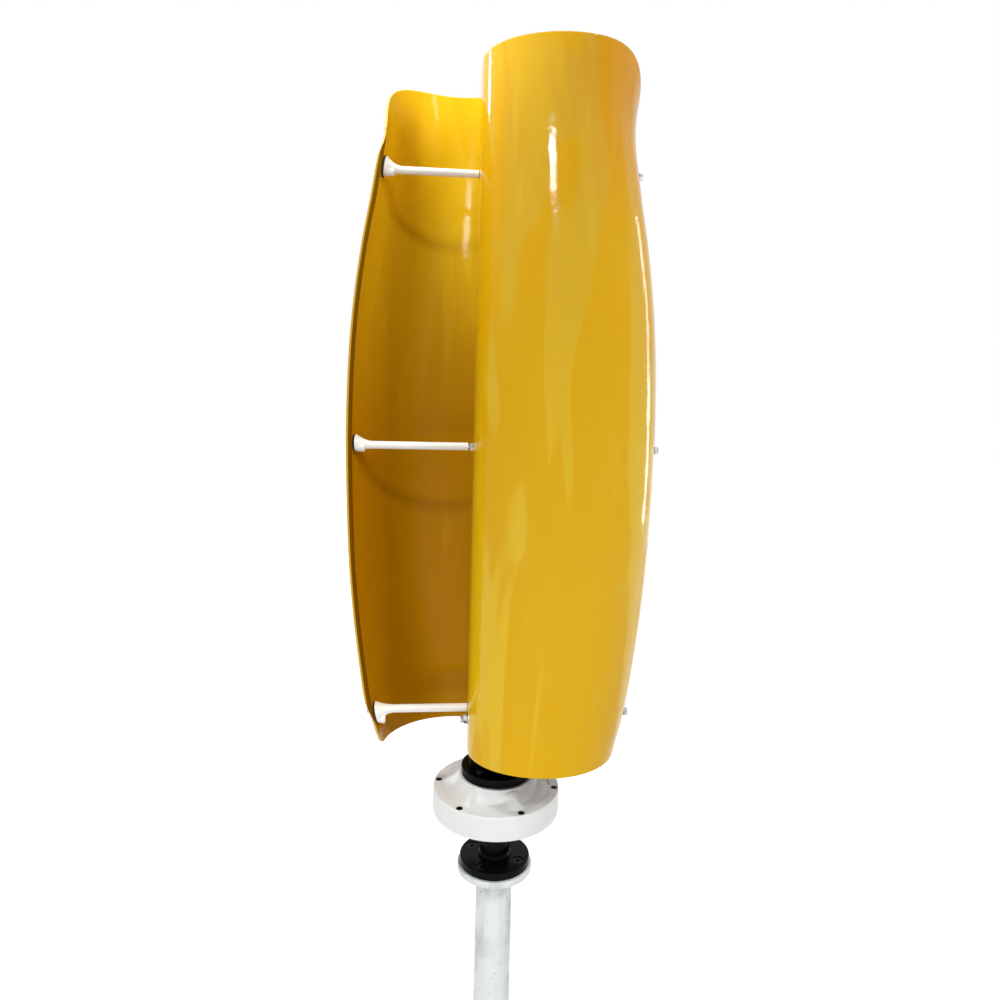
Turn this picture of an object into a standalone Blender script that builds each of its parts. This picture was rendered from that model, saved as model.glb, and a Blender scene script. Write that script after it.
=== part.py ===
"""Two-blade vertical axis turbine: bowed S-section blades on a disc generator and a short mast stub.

Metres, +Z up. The rotor turns about the Z axis; its chord lies along X at rest.
"""
import math

import bmesh
import bpy
import numpy as np
from mathutils import Matrix, Vector

# ---- driving dimensions -------------------------------------------------------------------
GAP = 0.0003                     # clearance left between touching pieces

MAST_R, MAST_WALL, MAST_TOP = 0.02415, 0.0030, 0.2077
MAST_FLANGE_R, MAST_FLANGE_Z = 0.0501, (0.2080, 0.2166)
SHAFT_FLANGE_R, SHAFT_FLANGE_Z = 0.0471, (0.2169, 0.2265)
FLANGE_PITCH_R, FLANGE_PHASE = 0.0350, 58.0
NECK_R, NECK_TOP = 0.0200, 0.2885
AXLE_R, AXLE_TOP, AXLE_BORE = 0.0100, 0.3260, 0.0060

CASE_R, CASE_BOTTOM, CASE_SPLIT, CASE_TOP = 0.0852, 0.2895, 0.3158, 0.3207
CASE_WALL_R = 0.0745
COVER_RING_R, BOSS_R, BOSS_TOP = 0.0735, 0.0505, 0.3370
POCKET_FLOOR, POCKET_R = 0.3186, (0.0528, 0.0722)
RIB_WIDTH = 0.0042               # ribs run from the boss out to the cover screws
COVER_SCREW_R, COVER_SCREW_PHASE = 0.0790, -10.8
COVER_SCREW = ((0.0025, 0.0125), (0.0043, 0.0030), (0.0020, 0.0018))
SPOT_R, SPOT_DEPTH = 0.0047, 0.0029              # recess round each cover screw's head
CASE_FLOOR, SHAFT_HOLE_R = 0.0040, 0.0165
BEARING_SEAT_R, BEARING_BOSS_R, BEARING_SEAT_TOP = 0.0211, 0.0300, 0.3028
UPPER_SEAT_TOP, CAVITY_TOP, CAVITY_R = 0.3287, 0.3310, 0.0150
BEARING_Z, BEARING_H = (0.2915, 0.3164), 0.0110
BEARING_INNER_R, BEARING_OUTER_R = 0.0135, (0.0141, 0.0208)

HUB_R, HUB_Z, HUB_RECESS = 0.0478, (0.3373, 0.3483), 0.0030
HUB_SCREW_XY = (0.0241, 0.0295)
HUB_SCREW = ((0.0030, 0.0215), (0.0050, 0.0060), (0.0026, 0.0030))
POST_HALF_X, POST_HALF_Y, POST_WALL, POST_TOP = 0.0379, 0.0152, 0.0025, 1.2000

BLADE_Z = (0.3738, 1.2972)       # bottom and top cut of the blades
BLADE_T = 0.0030                 # laminate thickness
INNER_X = 0.0412                 # outer face of the straight inner wall, from the axis
INNER_FLAT = (0.0220, 0.0155)    # flat inner wall: how far behind and ahead of the chord plane
LIP = 0.0046                     # outward lip along the bowed edge
LIP_RADIUS = 0.0062
# outer edge radius and section depth at stations up the blade
EDGE_STATIONS = ((0.374, 0.163), (0.420, 0.1755), (0.500, 0.1895), (0.600, 0.202), (0.710, 0.209),
                 (0.830, 0.212), (0.950, 0.208), (1.050, 0.197), (1.130, 0.184), (1.210, 0.175),
                 (1.297, 0.187))
DEPTH_STATIONS = ((0.374, 0.096), (0.600, 0.102), (0.830, 0.106), (1.060, 0.107), (1.297, 0.107))
TOP_CORNER = (0.090, 0.140)      # corner rounding: height, length along the section
TOP_POWER = 2.8                  # how sharply the top corner's rounding falls away
BOTTOM_CORNER = (0.0205, 0.0207)
SECTION_STEPS, TAB_STEPS, LIP_STEPS, HEIGHT_STEPS = 26, 2, 3, 22

ROD_Z = (0.4207, 0.7790, 1.1535)
FOOT_R = (0.0138, 0.0118, 0.0136)           # flared foot of each rod, lowest first
FOOT_LIFT = (-0.0045, 0.0026, 0.0038)       # how far each foot's centre sits above its rod
ROD_Y = -0.0110                  # rods lie just inside the chord plane
ROD_R, FOOT_LENGTH = 0.0053, 0.0280
PAD_T, PAD_MARGIN, PAD_GAP = 0.0016, 0.0008, 0.0007
BOLT_R, HOLE_R = 0.0030, 0.0034
POST_BOLT_YZ = (-0.0030, 0.4106)

YELLOW = (0.83, 0.50, 0.02)
WHITE = (0.86, 0.87, 0.86)
BLACK = (0.012, 0.012, 0.013)
STEEL = (0.60, 0.60, 0.61)
MATERIALS = {
    "yellow_gelcoat": (YELLOW, 0.16, 0.0),
    "white_coat": (WHITE, 0.35, 0.0),
    "white_rod": (WHITE, 0.30, 0.0),
    "black_gloss": (BLACK, 0.16, 0.0),
    "black_oxide": ((0.02, 0.02, 0.022), 0.35, 0.6),
    "mast_coat": ((0.74, 0.76, 0.75), 0.45, 0.1),
    "bolt_steel": (STEEL, 0.28, 1.0),
    "bearing_steel": ((0.70, 0.70, 0.72), 0.20, 1.0),
    "rubber_pad": ((0.02, 0.02, 0.02), 0.60, 0.0),
    "core_steel": ((0.25, 0.25, 0.27), 0.45, 1.0),
    "copper_coil": ((0.72, 0.33, 0.15), 0.30, 1.0),
}


# ---- helpers ------------------------------------------------------------------------------
def clear_scene():
    for obj in list(bpy.data.objects):
        bpy.data.objects.remove(obj, do_unlink=True)


def own_material(name, kind):
    colour, rough, metal = MATERIALS[kind]
    mat = bpy.data.materials.new(name)
    mat.use_nodes = True
    mat.diffuse_color = (*colour, 1.0)
    shader = mat.node_tree.nodes["Principled BSDF"]
    shader.inputs["Base Color"].default_value = (*colour, 1.0)
    shader.inputs["Roughness"].default_value = rough
    shader.inputs["Metallic"].default_value = metal
    return mat


def finish(name, bm, kind, smooth=True):
    """Turn a bmesh into a named object with outward faces and its own material."""
    bmesh.ops.remove_doubles(bm, verts=bm.verts, dist=0.00001)
    bmesh.ops.recalc_face_normals(bm, faces=bm.faces)
    mesh = bpy.data.meshes.new(name)
    bm.to_mesh(mesh)
    bm.free()
    obj = bpy.data.objects.new(name, mesh)
    bpy.context.scene.collection.objects.link(obj)
    mesh.materials.append(own_material(name, kind))
    if smooth:
        mesh.shade_smooth()
        mesh.set_sharp_from_angle(angle=math.radians(35))
    return obj


def hex_radius(across_flats, angle):
    step = (angle % math.radians(60)) - math.radians(30)
    return 0.5 * across_flats / math.cos(step)


def join_rings(bm, rings, segments):
    """Faces between neighbouring rings; a ring of one vertex is a pole, else the loop closes."""
    pairs = list(zip(rings, rings[1:]))
    if len(rings[0]) > 1:
        pairs.append((rings[-1], rings[0]))
    for low, high in pairs:
        for k in range(segments):
            n = (k + 1) % segments
            if len(low) == 1:
                bm.faces.new((low[0], high[k], high[n]))
            elif len(high) == 1:
                bm.faces.new((low[k], low[n], high[0]))
            else:
                bm.faces.new((low[k], low[n], high[n], high[k]))


def revolve(profile, segments, frame=Matrix.Identity(4)):
    """Closed solid from a loop of (radius, height[, "hex"]) points; radius 0 is a pole.

    A "hex" point's radius is half the width across flats. frame maps the local Z axis."""
    bm = bmesh.new()
    rings = []
    for point in profile:
        r, h = point[0], point[1]
        if r == 0.0:
            rings.append([bm.verts.new(frame @ Vector((0, 0, h)))])
            continue
        ring = []
        for k in range(segments):
            a = 2 * math.pi * k / segments
            rr = hex_radius(2 * r, a) if len(point) > 2 else r
            ring.append(bm.verts.new(frame @ Vector((rr * math.cos(a), rr * math.sin(a), h))))
        rings.append(ring)
    join_rings(bm, rings, segments)
    return bm


def prism(points, z0, z1):
    bm = bmesh.new()
    low = [bm.verts.new((x, y, z0)) for x, y in points]
    high = [bm.verts.new((x, y, z1)) for x, y in points]
    bm.faces.new(list(reversed(low)))
    bm.faces.new(high)
    for k in range(len(points)):
        n = (k + 1) % len(points)
        bm.faces.new((low[k], low[n], high[n], high[k]))
    return bm


def cutter(bm, name="cutter"):
    bmesh.ops.recalc_face_normals(bm, faces=bm.faces)
    mesh = bpy.data.meshes.new(name)
    bm.to_mesh(mesh)
    bm.free()
    obj = bpy.data.objects.new(name, mesh)
    bpy.context.scene.collection.objects.link(obj)
    obj.hide_render = True
    obj.display_type = "WIRE"
    return obj


def cut(target, cutters):
    """Subtract every cutter from the target, then remove the cutters."""
    for tool in cutters:
        mod = target.modifiers.new("cut", "BOOLEAN")
        mod.operation = "DIFFERENCE"
        mod.solver = "EXACT"
        mod.object = tool
        bpy.context.view_layer.update()
        graph = bpy.context.evaluated_depsgraph_get()
        mesh = bpy.data.meshes.new_from_object(target.evaluated_get(graph))
        target.modifiers.clear()
        old = target.data
        target.data = mesh
        mesh.name = target.name
        bpy.data.meshes.remove(old)
    for tool in cutters:
        bpy.data.objects.remove(tool, do_unlink=True)
    bm = bmesh.new()
    bm.from_mesh(target.data)
    bmesh.ops.remove_doubles(bm, verts=bm.verts, dist=0.00001)
    bmesh.ops.recalc_face_normals(bm, faces=bm.faces)
    bm.to_mesh(target.data)
    bm.free()
    target.data.set_sharp_from_angle(angle=math.radians(35))


def socket_screw(name, spot, seat, shank, head, socket):
    """Upright screw on its seat height; shank, head and socket are (radius, length)."""
    bevel = 0.0006
    top, tip, floor = seat + head[1], seat - shank[1], seat + head[1] - socket[1]
    profile = [(0, tip), (shank[0], tip), (shank[0], seat), (head[0], seat),
               (head[0], top - bevel), (head[0] - bevel, top),
               (socket[0], top, "hex"), (socket[0], floor, "hex"), (0, floor)]
    finish(name, revolve(profile, 12, Matrix.Translation((*spot, 0))), "black_oxide")


def ring_points(radius, count, phase_deg):
    return [(radius * math.cos(math.radians(phase_deg + 360.0 * k / count)),
             radius * math.sin(math.radians(phase_deg + 360.0 * k / count))) for k in range(count)]


def along_x(x, y, z, sign=1.0):
    """Frame whose local Z axis points along sign * X from (x, y, z)."""
    turn = Matrix.Rotation(math.radians(90.0 * sign), 4, "Y")
    return Matrix.Translation((x, y, z)) @ turn


def half_turn_copy(obj, name, kind):
    bm = bmesh.new()
    bm.from_mesh(obj.data)
    bmesh.ops.rotate(bm, verts=bm.verts, cent=(0, 0, 0), matrix=Matrix.Rotation(math.pi, 3, "Z"))
    return finish(name, bm, kind)


# ---- blade surface ------------------------------------------------------------------------
def through(stations, z):
    """Smooth curve through the stations (cubic Hermite with averaged slopes)."""
    zs = np.array([s[0] for s in stations])
    vs = np.array([s[1] for s in stations])
    slope = np.gradient(vs, zs)
    z = min(max(z, zs[0]), zs[-1])
    k = int(min(np.searchsorted(zs, z, side="right") - 1, len(zs) - 2))
    h = zs[k + 1] - zs[k]
    t = (z - zs[k]) / h
    return float((2 * t ** 3 - 3 * t ** 2 + 1) * vs[k] + (t ** 3 - 2 * t ** 2 + t) * h * slope[k]
                 + (3 * t ** 2 - 2 * t ** 3) * vs[k + 1] + (t ** 3 - t ** 2) * h * slope[k + 1])


def section(z):
    """Half-ellipse of the outward face at height z: centre, half width, depth."""
    edge = through(EDGE_STATIONS, z) - LIP
    return (edge - INNER_X) / 2, (edge + INNER_X) / 2, through(DEPTH_STATIONS, z)


def wall_x(y, z, inside):
    """X of the bowed outer wall at (y, z): inward face if inside, else outward face."""
    centre, half, depth = section(z)
    t = BLADE_T if inside else 0.0
    return centre + (half - t) * math.sqrt(max(0.0, 1 - (y / (depth - t)) ** 2))


def cut_height(angle, top):
    """Height of the trimmed edge at a section angle; the outer corner is rounded off."""
    z = BLADE_Z[1] if top else BLADE_Z[0]
    height, length = TOP_CORNER if top else BOTTOM_CORNER
    away = section(z)[2] * (math.pi - angle)
    k = min(max(1 - away / length, 0.0), 1.0)
    if top:
        return z - height * k ** TOP_POWER
    return z + height * (1 - math.sqrt(1 - k * k))


def blade_columns():
    """Each column: function of height share v giving (outward point, inward point)."""
    columns = []
    for k in range(TAB_STEPS):
        y = INNER_FLAT[0] - sum(INNER_FLAT) * k / TAB_STEPS
        columns.append(("tab", y, 0.0))
    for k in range(SECTION_STEPS + 1):
        columns.append(("arc", math.pi * k / SECTION_STEPS, math.pi * k / SECTION_STEPS))
    for k in range(1, LIP_STEPS + 1):
        columns.append(("lip", k / LIP_STEPS, math.pi))
    return columns


def blade_point(kind, value, angle, v):
    low, high = cut_height(angle, False), cut_height(angle, True)
    z = low + v * (high - low)
    centre, half, depth = section(z)
    t = BLADE_T
    if kind == "tab":
        return (-INNER_X, value, z), (-INNER_X + t, value, z)
    if kind == "arc":
        c, s = math.cos(value), math.sin(value)
        shift = INNER_FLAT[1] if c > 0 else 0.0
        return ((centre - half * c, -shift - (depth - shift) * s, z),
                (centre - (half - t) * c, -shift - (depth - shift - t) * s, z))
    fade = min(1.0, min(v, 1 - v) / 0.06)
    fade = fade * fade * (3 - 2 * fade)
    turn = math.radians(value * (10 + 65 * fade))
    edge = centre + half + LIP_RADIUS
    c, s = math.cos(turn), math.sin(turn)
    return ((edge - LIP_RADIUS * c, LIP_RADIUS * s, z),
            (edge - (LIP_RADIUS + t) * c, (LIP_RADIUS + t) * s, z))


def height_share(row):
    """Rows crowd towards the cut ends, where the edge bends most."""
    v = row / HEIGHT_STEPS
    return 0.45 * v + 0.55 * (0.5 - 0.5 * math.cos(math.pi * v))


def make_blade():
    bm = bmesh.new()
    outer, inner = [], []
    for kind, value, angle in blade_columns():
        pairs = [blade_point(kind, value, angle, height_share(v)) for v in range(HEIGHT_STEPS + 1)]
        outer.append([bm.verts.new(p[0]) for p in pairs])
        inner.append([bm.verts.new(p[1]) for p in pairs])
    rows, cols = HEIGHT_STEPS, len(outer) - 1
    for i in range(cols):
        for j in range(rows):
            for grid in (outer, inner):
                bm.faces.new((grid[i][j], grid[i + 1][j], grid[i + 1][j + 1], grid[i][j + 1]))
    for i in range(cols):
        for j in (0, rows):
            bm.faces.new((outer[i][j], outer[i + 1][j], inner[i + 1][j], inner[i][j]))
    for j in range(rows):
        for i in (0, cols):
            bm.faces.new((outer[i][j], outer[i][j + 1], inner[i][j + 1], inner[i][j]))
    blade = finish("blade_a", bm, "yellow_gelcoat")

    def drill(x0, x1, y, z):
        profile = [(0, 0), (HOLE_R, 0), (HOLE_R, x1 - x0), (0, x1 - x0)]
        return cutter(revolve(profile, 12, along_x(x0, y, z)))

    tools = []
    for z in ROD_Z:
        x = wall_x(ROD_Y, z, False)
        tools.append(drill(x - 0.012, x + 0.012, ROD_Y, z))
        tools.append(drill(-INNER_X - 0.006, -INNER_X + 0.010, -ROD_Y, z))
    tools.append(drill(-INNER_X - 0.006, -INNER_X + 0.010, *POST_BOLT_YZ))
    cut(blade, tools)
    half_turn_copy(blade, "blade_b", "yellow_gelcoat")


# ---- tie rods -----------------------------------------------------------------------------
def wall_turned(loops, y0, z0, segments):
    """Closed solid about an X axis at (y0, z0) from rings (radius, x or wall offset, shape[, lift]).

    Shape "wall" or "skin" makes the ring follow the blade's inward or outward face at that
    offset; "hex" makes it a hexagon and "round" a circle, both at the given x. The lift
    moves the ring's centre up."""
    bm = bmesh.new()
    rings = []
    for r, x, shape, *lift in loops:
        if r == 0.0:
            rings.append([bm.verts.new((x, y0, z0))])
            continue
        ring = []
        for k in range(segments):
            a = 2 * math.pi * k / segments
            rr = hex_radius(2 * r, a) if shape == "hex" else r
            y, z = y0 + rr * math.cos(a), z0 + rr * math.sin(a) + sum(lift)
            px = x
            if shape in ("wall", "skin"):
                px = wall_x(min(y, 0.0), z, shape == "wall") + x
            ring.append(bm.verts.new((px, y, z)))
        rings.append(ring)
    join_rings(bm, rings, segments)
    return bm


def make_rods():
    """Rods, pads, bolts and studs between each blade's bowed edge and the other's inner wall."""
    for index, (z, foot, lift) in enumerate(zip(ROD_Z, FOOT_R, FOOT_LIFT), start=1):
        wall = wall_x(ROD_Y, z, True)
        near_pad, near_foot = -PAD_GAP - PAD_T, -PAD_GAP - PAD_T - GAP
        x_in = INNER_X + 0.0068                    # inner end of the rod
        x_flare = wall - FOOT_LENGTH
        parts = {}

        loops = [(0, x_in + 0.018, "round"), (0.0033, x_in + 0.018, "round"),
                 (0.0033, x_in, "round"), (ROD_R, x_in, "round")]
        for s in (0.0, 0.42, 0.68):
            flare = s ** 2.2
            loops.append((ROD_R + (foot - ROD_R) * flare, x_flare + FOOT_LENGTH * s, "round",
                          lift * flare))
        loops += [(foot - 0.0022, near_foot - 0.0040, "wall", lift),
                  (foot, near_foot - 0.0008, "wall", lift), (foot - 0.0007, near_foot, "wall", lift),
                  (0.0033, near_foot, "wall"),
                  (0.0033, wall - 0.0185, "round"), (0, wall - 0.0185, "round")]
        parts["tie_rod"] = (wall_turned(loops, ROD_Y, z, 14), "white_rod")

        rim = foot + PAD_MARGIN
        loops = [(HOLE_R, -PAD_GAP, "wall"), (rim, -PAD_GAP, "wall", lift),
                 (rim, near_pad, "wall", lift), (HOLE_R, near_pad, "wall")]
        parts["rod_pad"] = (wall_turned(loops, ROD_Y, z, 14), "rubber_pad")

        tilt = [wall_x(min(ROD_Y + 0.0056 * math.cos(a), 0.0), z + 0.0056 * math.sin(a), False)
                for a in np.linspace(0, 2 * math.pi, 24)]
        head = max(tilt) + 0.0014
        loops = [(0, wall - 0.0170, "round"), (BOLT_R, wall - 0.0170, "round"),
                 (BOLT_R, 0.0005, "skin"), (0.0056, 0.0005, "skin"), (0.0056, head, "round"),
                 (0.0048, head, "hex"), (0.0048, head + 0.0034, "hex"), (0, head + 0.0042, "round")]
        parts["rod_bolt"] = (wall_turned(loops, ROD_Y, z, 12), "bolt_steel")

        post_in = POST_HALF_X - POST_WALL - 0.0065
        nut = INNER_X + GAP
        loops = [(0, post_in, "round"), (BOLT_R, post_in, "round"), (BOLT_R, nut, "round"),
                 (0.0050, nut, "hex"), (0.0050, nut + 0.0042, "hex"), (BOLT_R, nut + 0.0042, "round"),
                 (BOLT_R, x_in + 0.0174, "round"), (0, x_in + 0.0174, "round")]
        parts["tie_stud"] = (wall_turned(loops, ROD_Y, z, 12), "bolt_steel")
        for name, (bm, kind) in parts.items():
            side_a = finish("%s_a%d" % (name, index), bm, kind)
            half_turn_copy(side_a, "%s_b%d" % (name, index), kind)

    y, z = POST_BOLT_YZ
    base = INNER_X + GAP
    inside = POST_HALF_X - POST_WALL - 0.0080
    profile = [(0, inside), (BOLT_R, inside), (BOLT_R, base), (0.0068, base),
               (0.0068, base + 0.0012), (0.0050, base + 0.0012, "hex"),
               (0.0050, base + 0.0084, "hex"), (0, base + 0.0094)]
    bolt = finish("post_bolt_a", revolve(profile, 12, along_x(0.0, y, z, -1.0)), "bolt_steel")
    half_turn_copy(bolt, "post_bolt_b", "bolt_steel")


# ---- hub and post -------------------------------------------------------------------------
def rounded_rect(hx, hy, r, steps=3):
    points = []
    for cx, cy, start in ((hx - r, hy - r, 0), (r - hx, hy - r, 90), (r - hx, r - hy, 180),
                          (hx - r, r - hy, 270)):
        for k in range(steps + 1):
            a = math.radians(start + 90.0 * k / steps)
            points.append((cx + r * math.cos(a), cy + r * math.sin(a)))
    return points


def drill_down(x, y, z_low, z_high, radius, segments=12):
    frame = Matrix.Translation((x, y, 0))
    profile = [(0, z_low), (radius, z_low), (radius, z_high), (0, z_high)]
    return cutter(revolve(profile, segments, frame))


def hub_screw_points():
    x, y = HUB_SCREW_XY
    return [(x, y), (-x, y), (-x, -y), (x, -y)]


def make_hub():
    z0, z1 = HUB_Z
    c = 0.0008
    profile = [(0, z0), (HUB_R - c, z0), (HUB_R, z0 + c), (HUB_R, z1 - c), (HUB_R - c, z1), (0, z1)]
    disc = finish("hub_disc", revolve(profile, 48), "black_gloss")
    tools = [cutter(prism(rounded_rect(POST_HALF_X + GAP, POST_HALF_Y + GAP, 0.0033),
                          z1 - HUB_RECESS, z1 + 0.01))]
    tools += [drill_down(x, y, z0 - 0.005, z1 + 0.005, HOLE_R) for x, y in hub_screw_points()]
    cut(disc, tools)

    bottom = z1 - HUB_RECESS + GAP
    post = finish("center_post", prism(rounded_rect(POST_HALF_X, POST_HALF_Y, 0.003), bottom, POST_TOP),
                  "black_gloss")
    w = POST_WALL
    tools = [cutter(prism(rounded_rect(POST_HALF_X - w, POST_HALF_Y - w, 0.001, 2),
                          bottom - 0.01, POST_TOP + 0.01))]
    for sign in (1, -1):
        spots = [(ROD_Y * sign, z) for z in ROD_Z] + [(-sign * POST_BOLT_YZ[0], POST_BOLT_YZ[1])]
        for y, z in spots:
            profile = [(0, 0.025), (HOLE_R, 0.025), (HOLE_R, 0.050), (0, 0.050)]
            tools.append(cutter(revolve(profile, 12, along_x(0, y, z, sign))))
    cut(post, tools)

    for index, spot in enumerate(hub_screw_points(), start=1):
        socket_screw("hub_screw_%d" % index, spot, z1 + GAP, *HUB_SCREW)


# ---- generator ----------------------------------------------------------------------------
def pocket_outline(index):
    """Pocket between two ribs of the cover, as a plan outline."""
    r0, r1 = POCKET_R
    low, high = (math.radians(COVER_SCREW_PHASE + 60.0 * k) for k in (index, index + 1))
    side_low = [(r, low + 0.5 * RIB_WIDTH / r) for r in (r0, r1)]
    side_high = [(r, high - 0.5 * RIB_WIDTH / r) for r in (r0, r1)]
    outer = [(r1, a) for a in np.linspace(side_low[-1][1], side_high[-1][1], 5)[1:-1]]
    inner = [(r0, a) for a in np.linspace(side_high[0][1], side_low[0][1], 4)[1:-1]]
    loop = side_low + outer + list(reversed(side_high)) + inner
    return [(r * math.cos(a), r * math.sin(a)) for r, a in loop]


def make_casing():
    seat = BEARING_Z[0] - GAP
    floor = CASE_BOTTOM + CASE_FLOOR
    body = [(SHAFT_HOLE_R, CASE_BOTTOM), (CASE_R - 0.0030, CASE_BOTTOM),
            (CASE_R - 0.0009, CASE_BOTTOM + 0.0009), (CASE_R, CASE_BOTTOM + 0.0030),
            (CASE_R, CASE_SPLIT), (CASE_WALL_R, CASE_SPLIT), (CASE_WALL_R, floor),
            (BEARING_BOSS_R, floor), (BEARING_BOSS_R, BEARING_SEAT_TOP),
            (BEARING_SEAT_R, BEARING_SEAT_TOP), (BEARING_SEAT_R, seat), (SHAFT_HOLE_R, seat)]
    casing = finish("casing_body", revolve(body, 56), "white_coat")
    points = ring_points(COVER_SCREW_R, 6, COVER_SCREW_PHASE)
    cut(casing, [drill_down(x, y, CASE_SPLIT - 0.0115, CASE_SPLIT + 0.004, 0.0028) for x, y in points])

    c = 0.0012
    under = CASE_SPLIT + GAP
    cover = [(0, BOSS_TOP), (BOSS_R - 0.0010, BOSS_TOP), (BOSS_R, BOSS_TOP - 0.0010),
             (BOSS_R + 0.0006, BOSS_TOP - 0.0045), (0.0600, CASE_TOP + 0.0078),
             (COVER_RING_R - 0.0010, CASE_TOP + 0.0006), (COVER_RING_R + 0.0006, CASE_TOP),
             (CASE_R - c, CASE_TOP), (CASE_R - 0.0003, CASE_TOP - 0.0004),
             (CASE_R, CASE_TOP - c), (CASE_R, under), (BEARING_SEAT_R, under),
             (BEARING_SEAT_R, UPPER_SEAT_TOP), (CAVITY_R, UPPER_SEAT_TOP),
             (CAVITY_R, CAVITY_TOP), (0, CAVITY_TOP)]
    top = finish("casing_cover", revolve(cover, 56), "white_coat")
    tools = [cutter(prism(pocket_outline(k), POCKET_FLOOR, BOSS_TOP + 0.01)) for k in range(6)]
    for x, y in points:
        tools.append(drill_down(x, y, under - 0.004, CASE_TOP + 0.004, 0.0028))
        tools.append(drill_down(x, y, CASE_TOP - SPOT_DEPTH, CASE_TOP + 0.004, SPOT_R))
    tools += [drill_down(x, y, 0.3265, BOSS_TOP + 0.004, HOLE_R) for x, y in hub_screw_points()]
    cut(top, tools)

    for index, spot in enumerate(points, start=1):
        socket_screw("cover_screw_%d" % index, spot, CASE_TOP - SPOT_DEPTH + GAP, *COVER_SCREW)


def wavy_ring(name, r_in, r_out, z0, z1, count, duty, low_r, kind):
    """Ring with evenly spaced blocks from low_r out to r_out (teeth, coils or magnets)."""
    bm = bmesh.new()
    loops = []
    for r_base in (r_in, None):
        for z in (z0, z1):
            ring = []
            for k in range(count):
                a0 = 2 * math.pi * k / count
                wide = math.pi * duty / count
                for a, r in ((a0 - wide, low_r), (a0 - wide, r_out), (a0, r_out),
                             (a0 + wide, r_out), (a0 + wide, low_r)):
                    rr = r if r_base is None else r_base
                    ring.append(bm.verts.new((rr * math.cos(a), rr * math.sin(a), z)))
            loops.append(ring)
    in0, in1, out0, out1 = loops
    total = len(in0)
    for k in range(total):
        n = (k + 1) % total
        for quad in ((out0[k], out0[n], out1[n], out1[k]), (in0[n], in0[k], in1[k], in1[n]),
                     (in0[k], in0[n], out0[n], out0[k]), (in1[n], in1[k], out1[k], out1[n])):
            bm.faces.new(quad)
    bmesh.ops.remove_doubles(bm, verts=bm.verts, dist=0.00001)
    bmesh.ops.dissolve_degenerate(bm, dist=0.00001, edges=bm.edges)
    return finish(name, bm, kind, smooth=False)


def make_inner_parts():
    mid = (CASE_BOTTOM + CASE_FLOOR + CASE_SPLIT + GAP) / 2
    magnets = [(CASE_WALL_R - 0.0003, mid - 0.0095), (CASE_WALL_R - 0.0003, mid + 0.0095),
               (CASE_WALL_R - 0.0080, mid + 0.0095), (CASE_WALL_R - 0.0080, mid - 0.0095)]
    finish("magnet_ring", revolve(magnets, 40), "core_steel")
    wavy_ring("stator_core", AXLE_R + GAP, 0.0655, 0.3037, 0.3085, 12, 0.72, 0.0330, "core_steel")
    wavy_ring("stator_coils", 0.0340, 0.0600, 0.3088, 0.3140, 12, 0.80, 0.0400, "copper_coil")
    for name, z0 in zip(("lower", "upper"), BEARING_Z):
        for ring, r0, r1 in (("inner", AXLE_R + GAP, BEARING_INNER_R), ("outer", *BEARING_OUTER_R)):
            profile = [(r0, z0), (r1, z0), (r1, z0 + BEARING_H), (r0, z0 + BEARING_H)]
            finish("bearing_%s_%s" % (ring, name), revolve(profile, 24), "bearing_steel")


# ---- mast, flanges and fixed shaft --------------------------------------------------------
def make_mast():
    c = 0.0006
    inner = MAST_R - MAST_WALL
    tube = [(inner, 0.0), (MAST_R, 0.0), (MAST_R, MAST_TOP), (inner, MAST_TOP)]
    finish("mast_tube", revolve(tube, 40), "mast_coat")

    z0, z1 = MAST_FLANGE_Z
    plate = [(inner, z0), (MAST_FLANGE_R - c, z0), (MAST_FLANGE_R, z0 + c),
             (MAST_FLANGE_R, z1 - c), (MAST_FLANGE_R - c, z1), (inner, z1)]
    flange = finish("mast_flange", revolve(plate, 40), "mast_coat")
    holes = ring_points(FLANGE_PITCH_R, 4, FLANGE_PHASE)
    cut(flange, [drill_down(x, y, z0 - 0.004, z1 + 0.004, 0.0044) for x, y in holes])

    z0, z1 = SHAFT_FLANGE_Z
    plate = [(AXLE_BORE, z0), (SHAFT_FLANGE_R - c, z0), (SHAFT_FLANGE_R, z0 + c),
             (SHAFT_FLANGE_R, z1 - c), (SHAFT_FLANGE_R - c, z1), (AXLE_BORE, z1)]
    flange = finish("shaft_flange", revolve(plate, 40), "black_gloss")
    sink = []
    for x, y in holes:
        frame = Matrix.Translation((x, y, 0))
        profile = [(0, z0 - 0.004), (0.0044, z0 - 0.004), (0.0044, z1 - 0.0044),
                   (0.0082, z1 - 0.0006), (0.0082, z1 + 0.004), (0, z1 + 0.004)]
        sink.append(cutter(revolve(profile, 12, frame)))
    cut(flange, sink)
    for index, (x, y) in enumerate(holes, start=1):
        top = z1 - 0.0010
        profile = [(0, top - 0.0165), (0.0040, top - 0.0165), (0.0040, top - 0.0037),
                   (0.0075, top - 0.0002), (0.0075, top), (0.0025, top, "hex"),
                   (0.0025, top - 0.0028, "hex"), (0, top - 0.0028)]
        finish("flange_screw_%d" % index, revolve(profile, 12, Matrix.Translation((x, y, 0))),
               "black_oxide")

    base = z1 + GAP
    shaft = [(AXLE_BORE, base), (0.0222, base), (0.0222, base + 0.0022), (0.0208, base + 0.0036),
             (NECK_R, base + 0.0042), (NECK_R, NECK_TOP - 0.0006), (NECK_R - 0.0006, NECK_TOP),
             (0.0118, NECK_TOP), (0.0118, 0.2910), (AXLE_R, 0.2910), (AXLE_R, AXLE_TOP),
             (AXLE_BORE, AXLE_TOP)]
    finish("stator_shaft", revolve(shaft, 32), "black_gloss")


def main():
    clear_scene()
    make_mast()
    make_casing()
    make_inner_parts()
    make_hub()
    make_blade()
    make_rods()


main()
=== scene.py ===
"""Finished surfaces and stage for a two-blade vertical axis wind turbine, built round its CAD frame."""

import math

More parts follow.
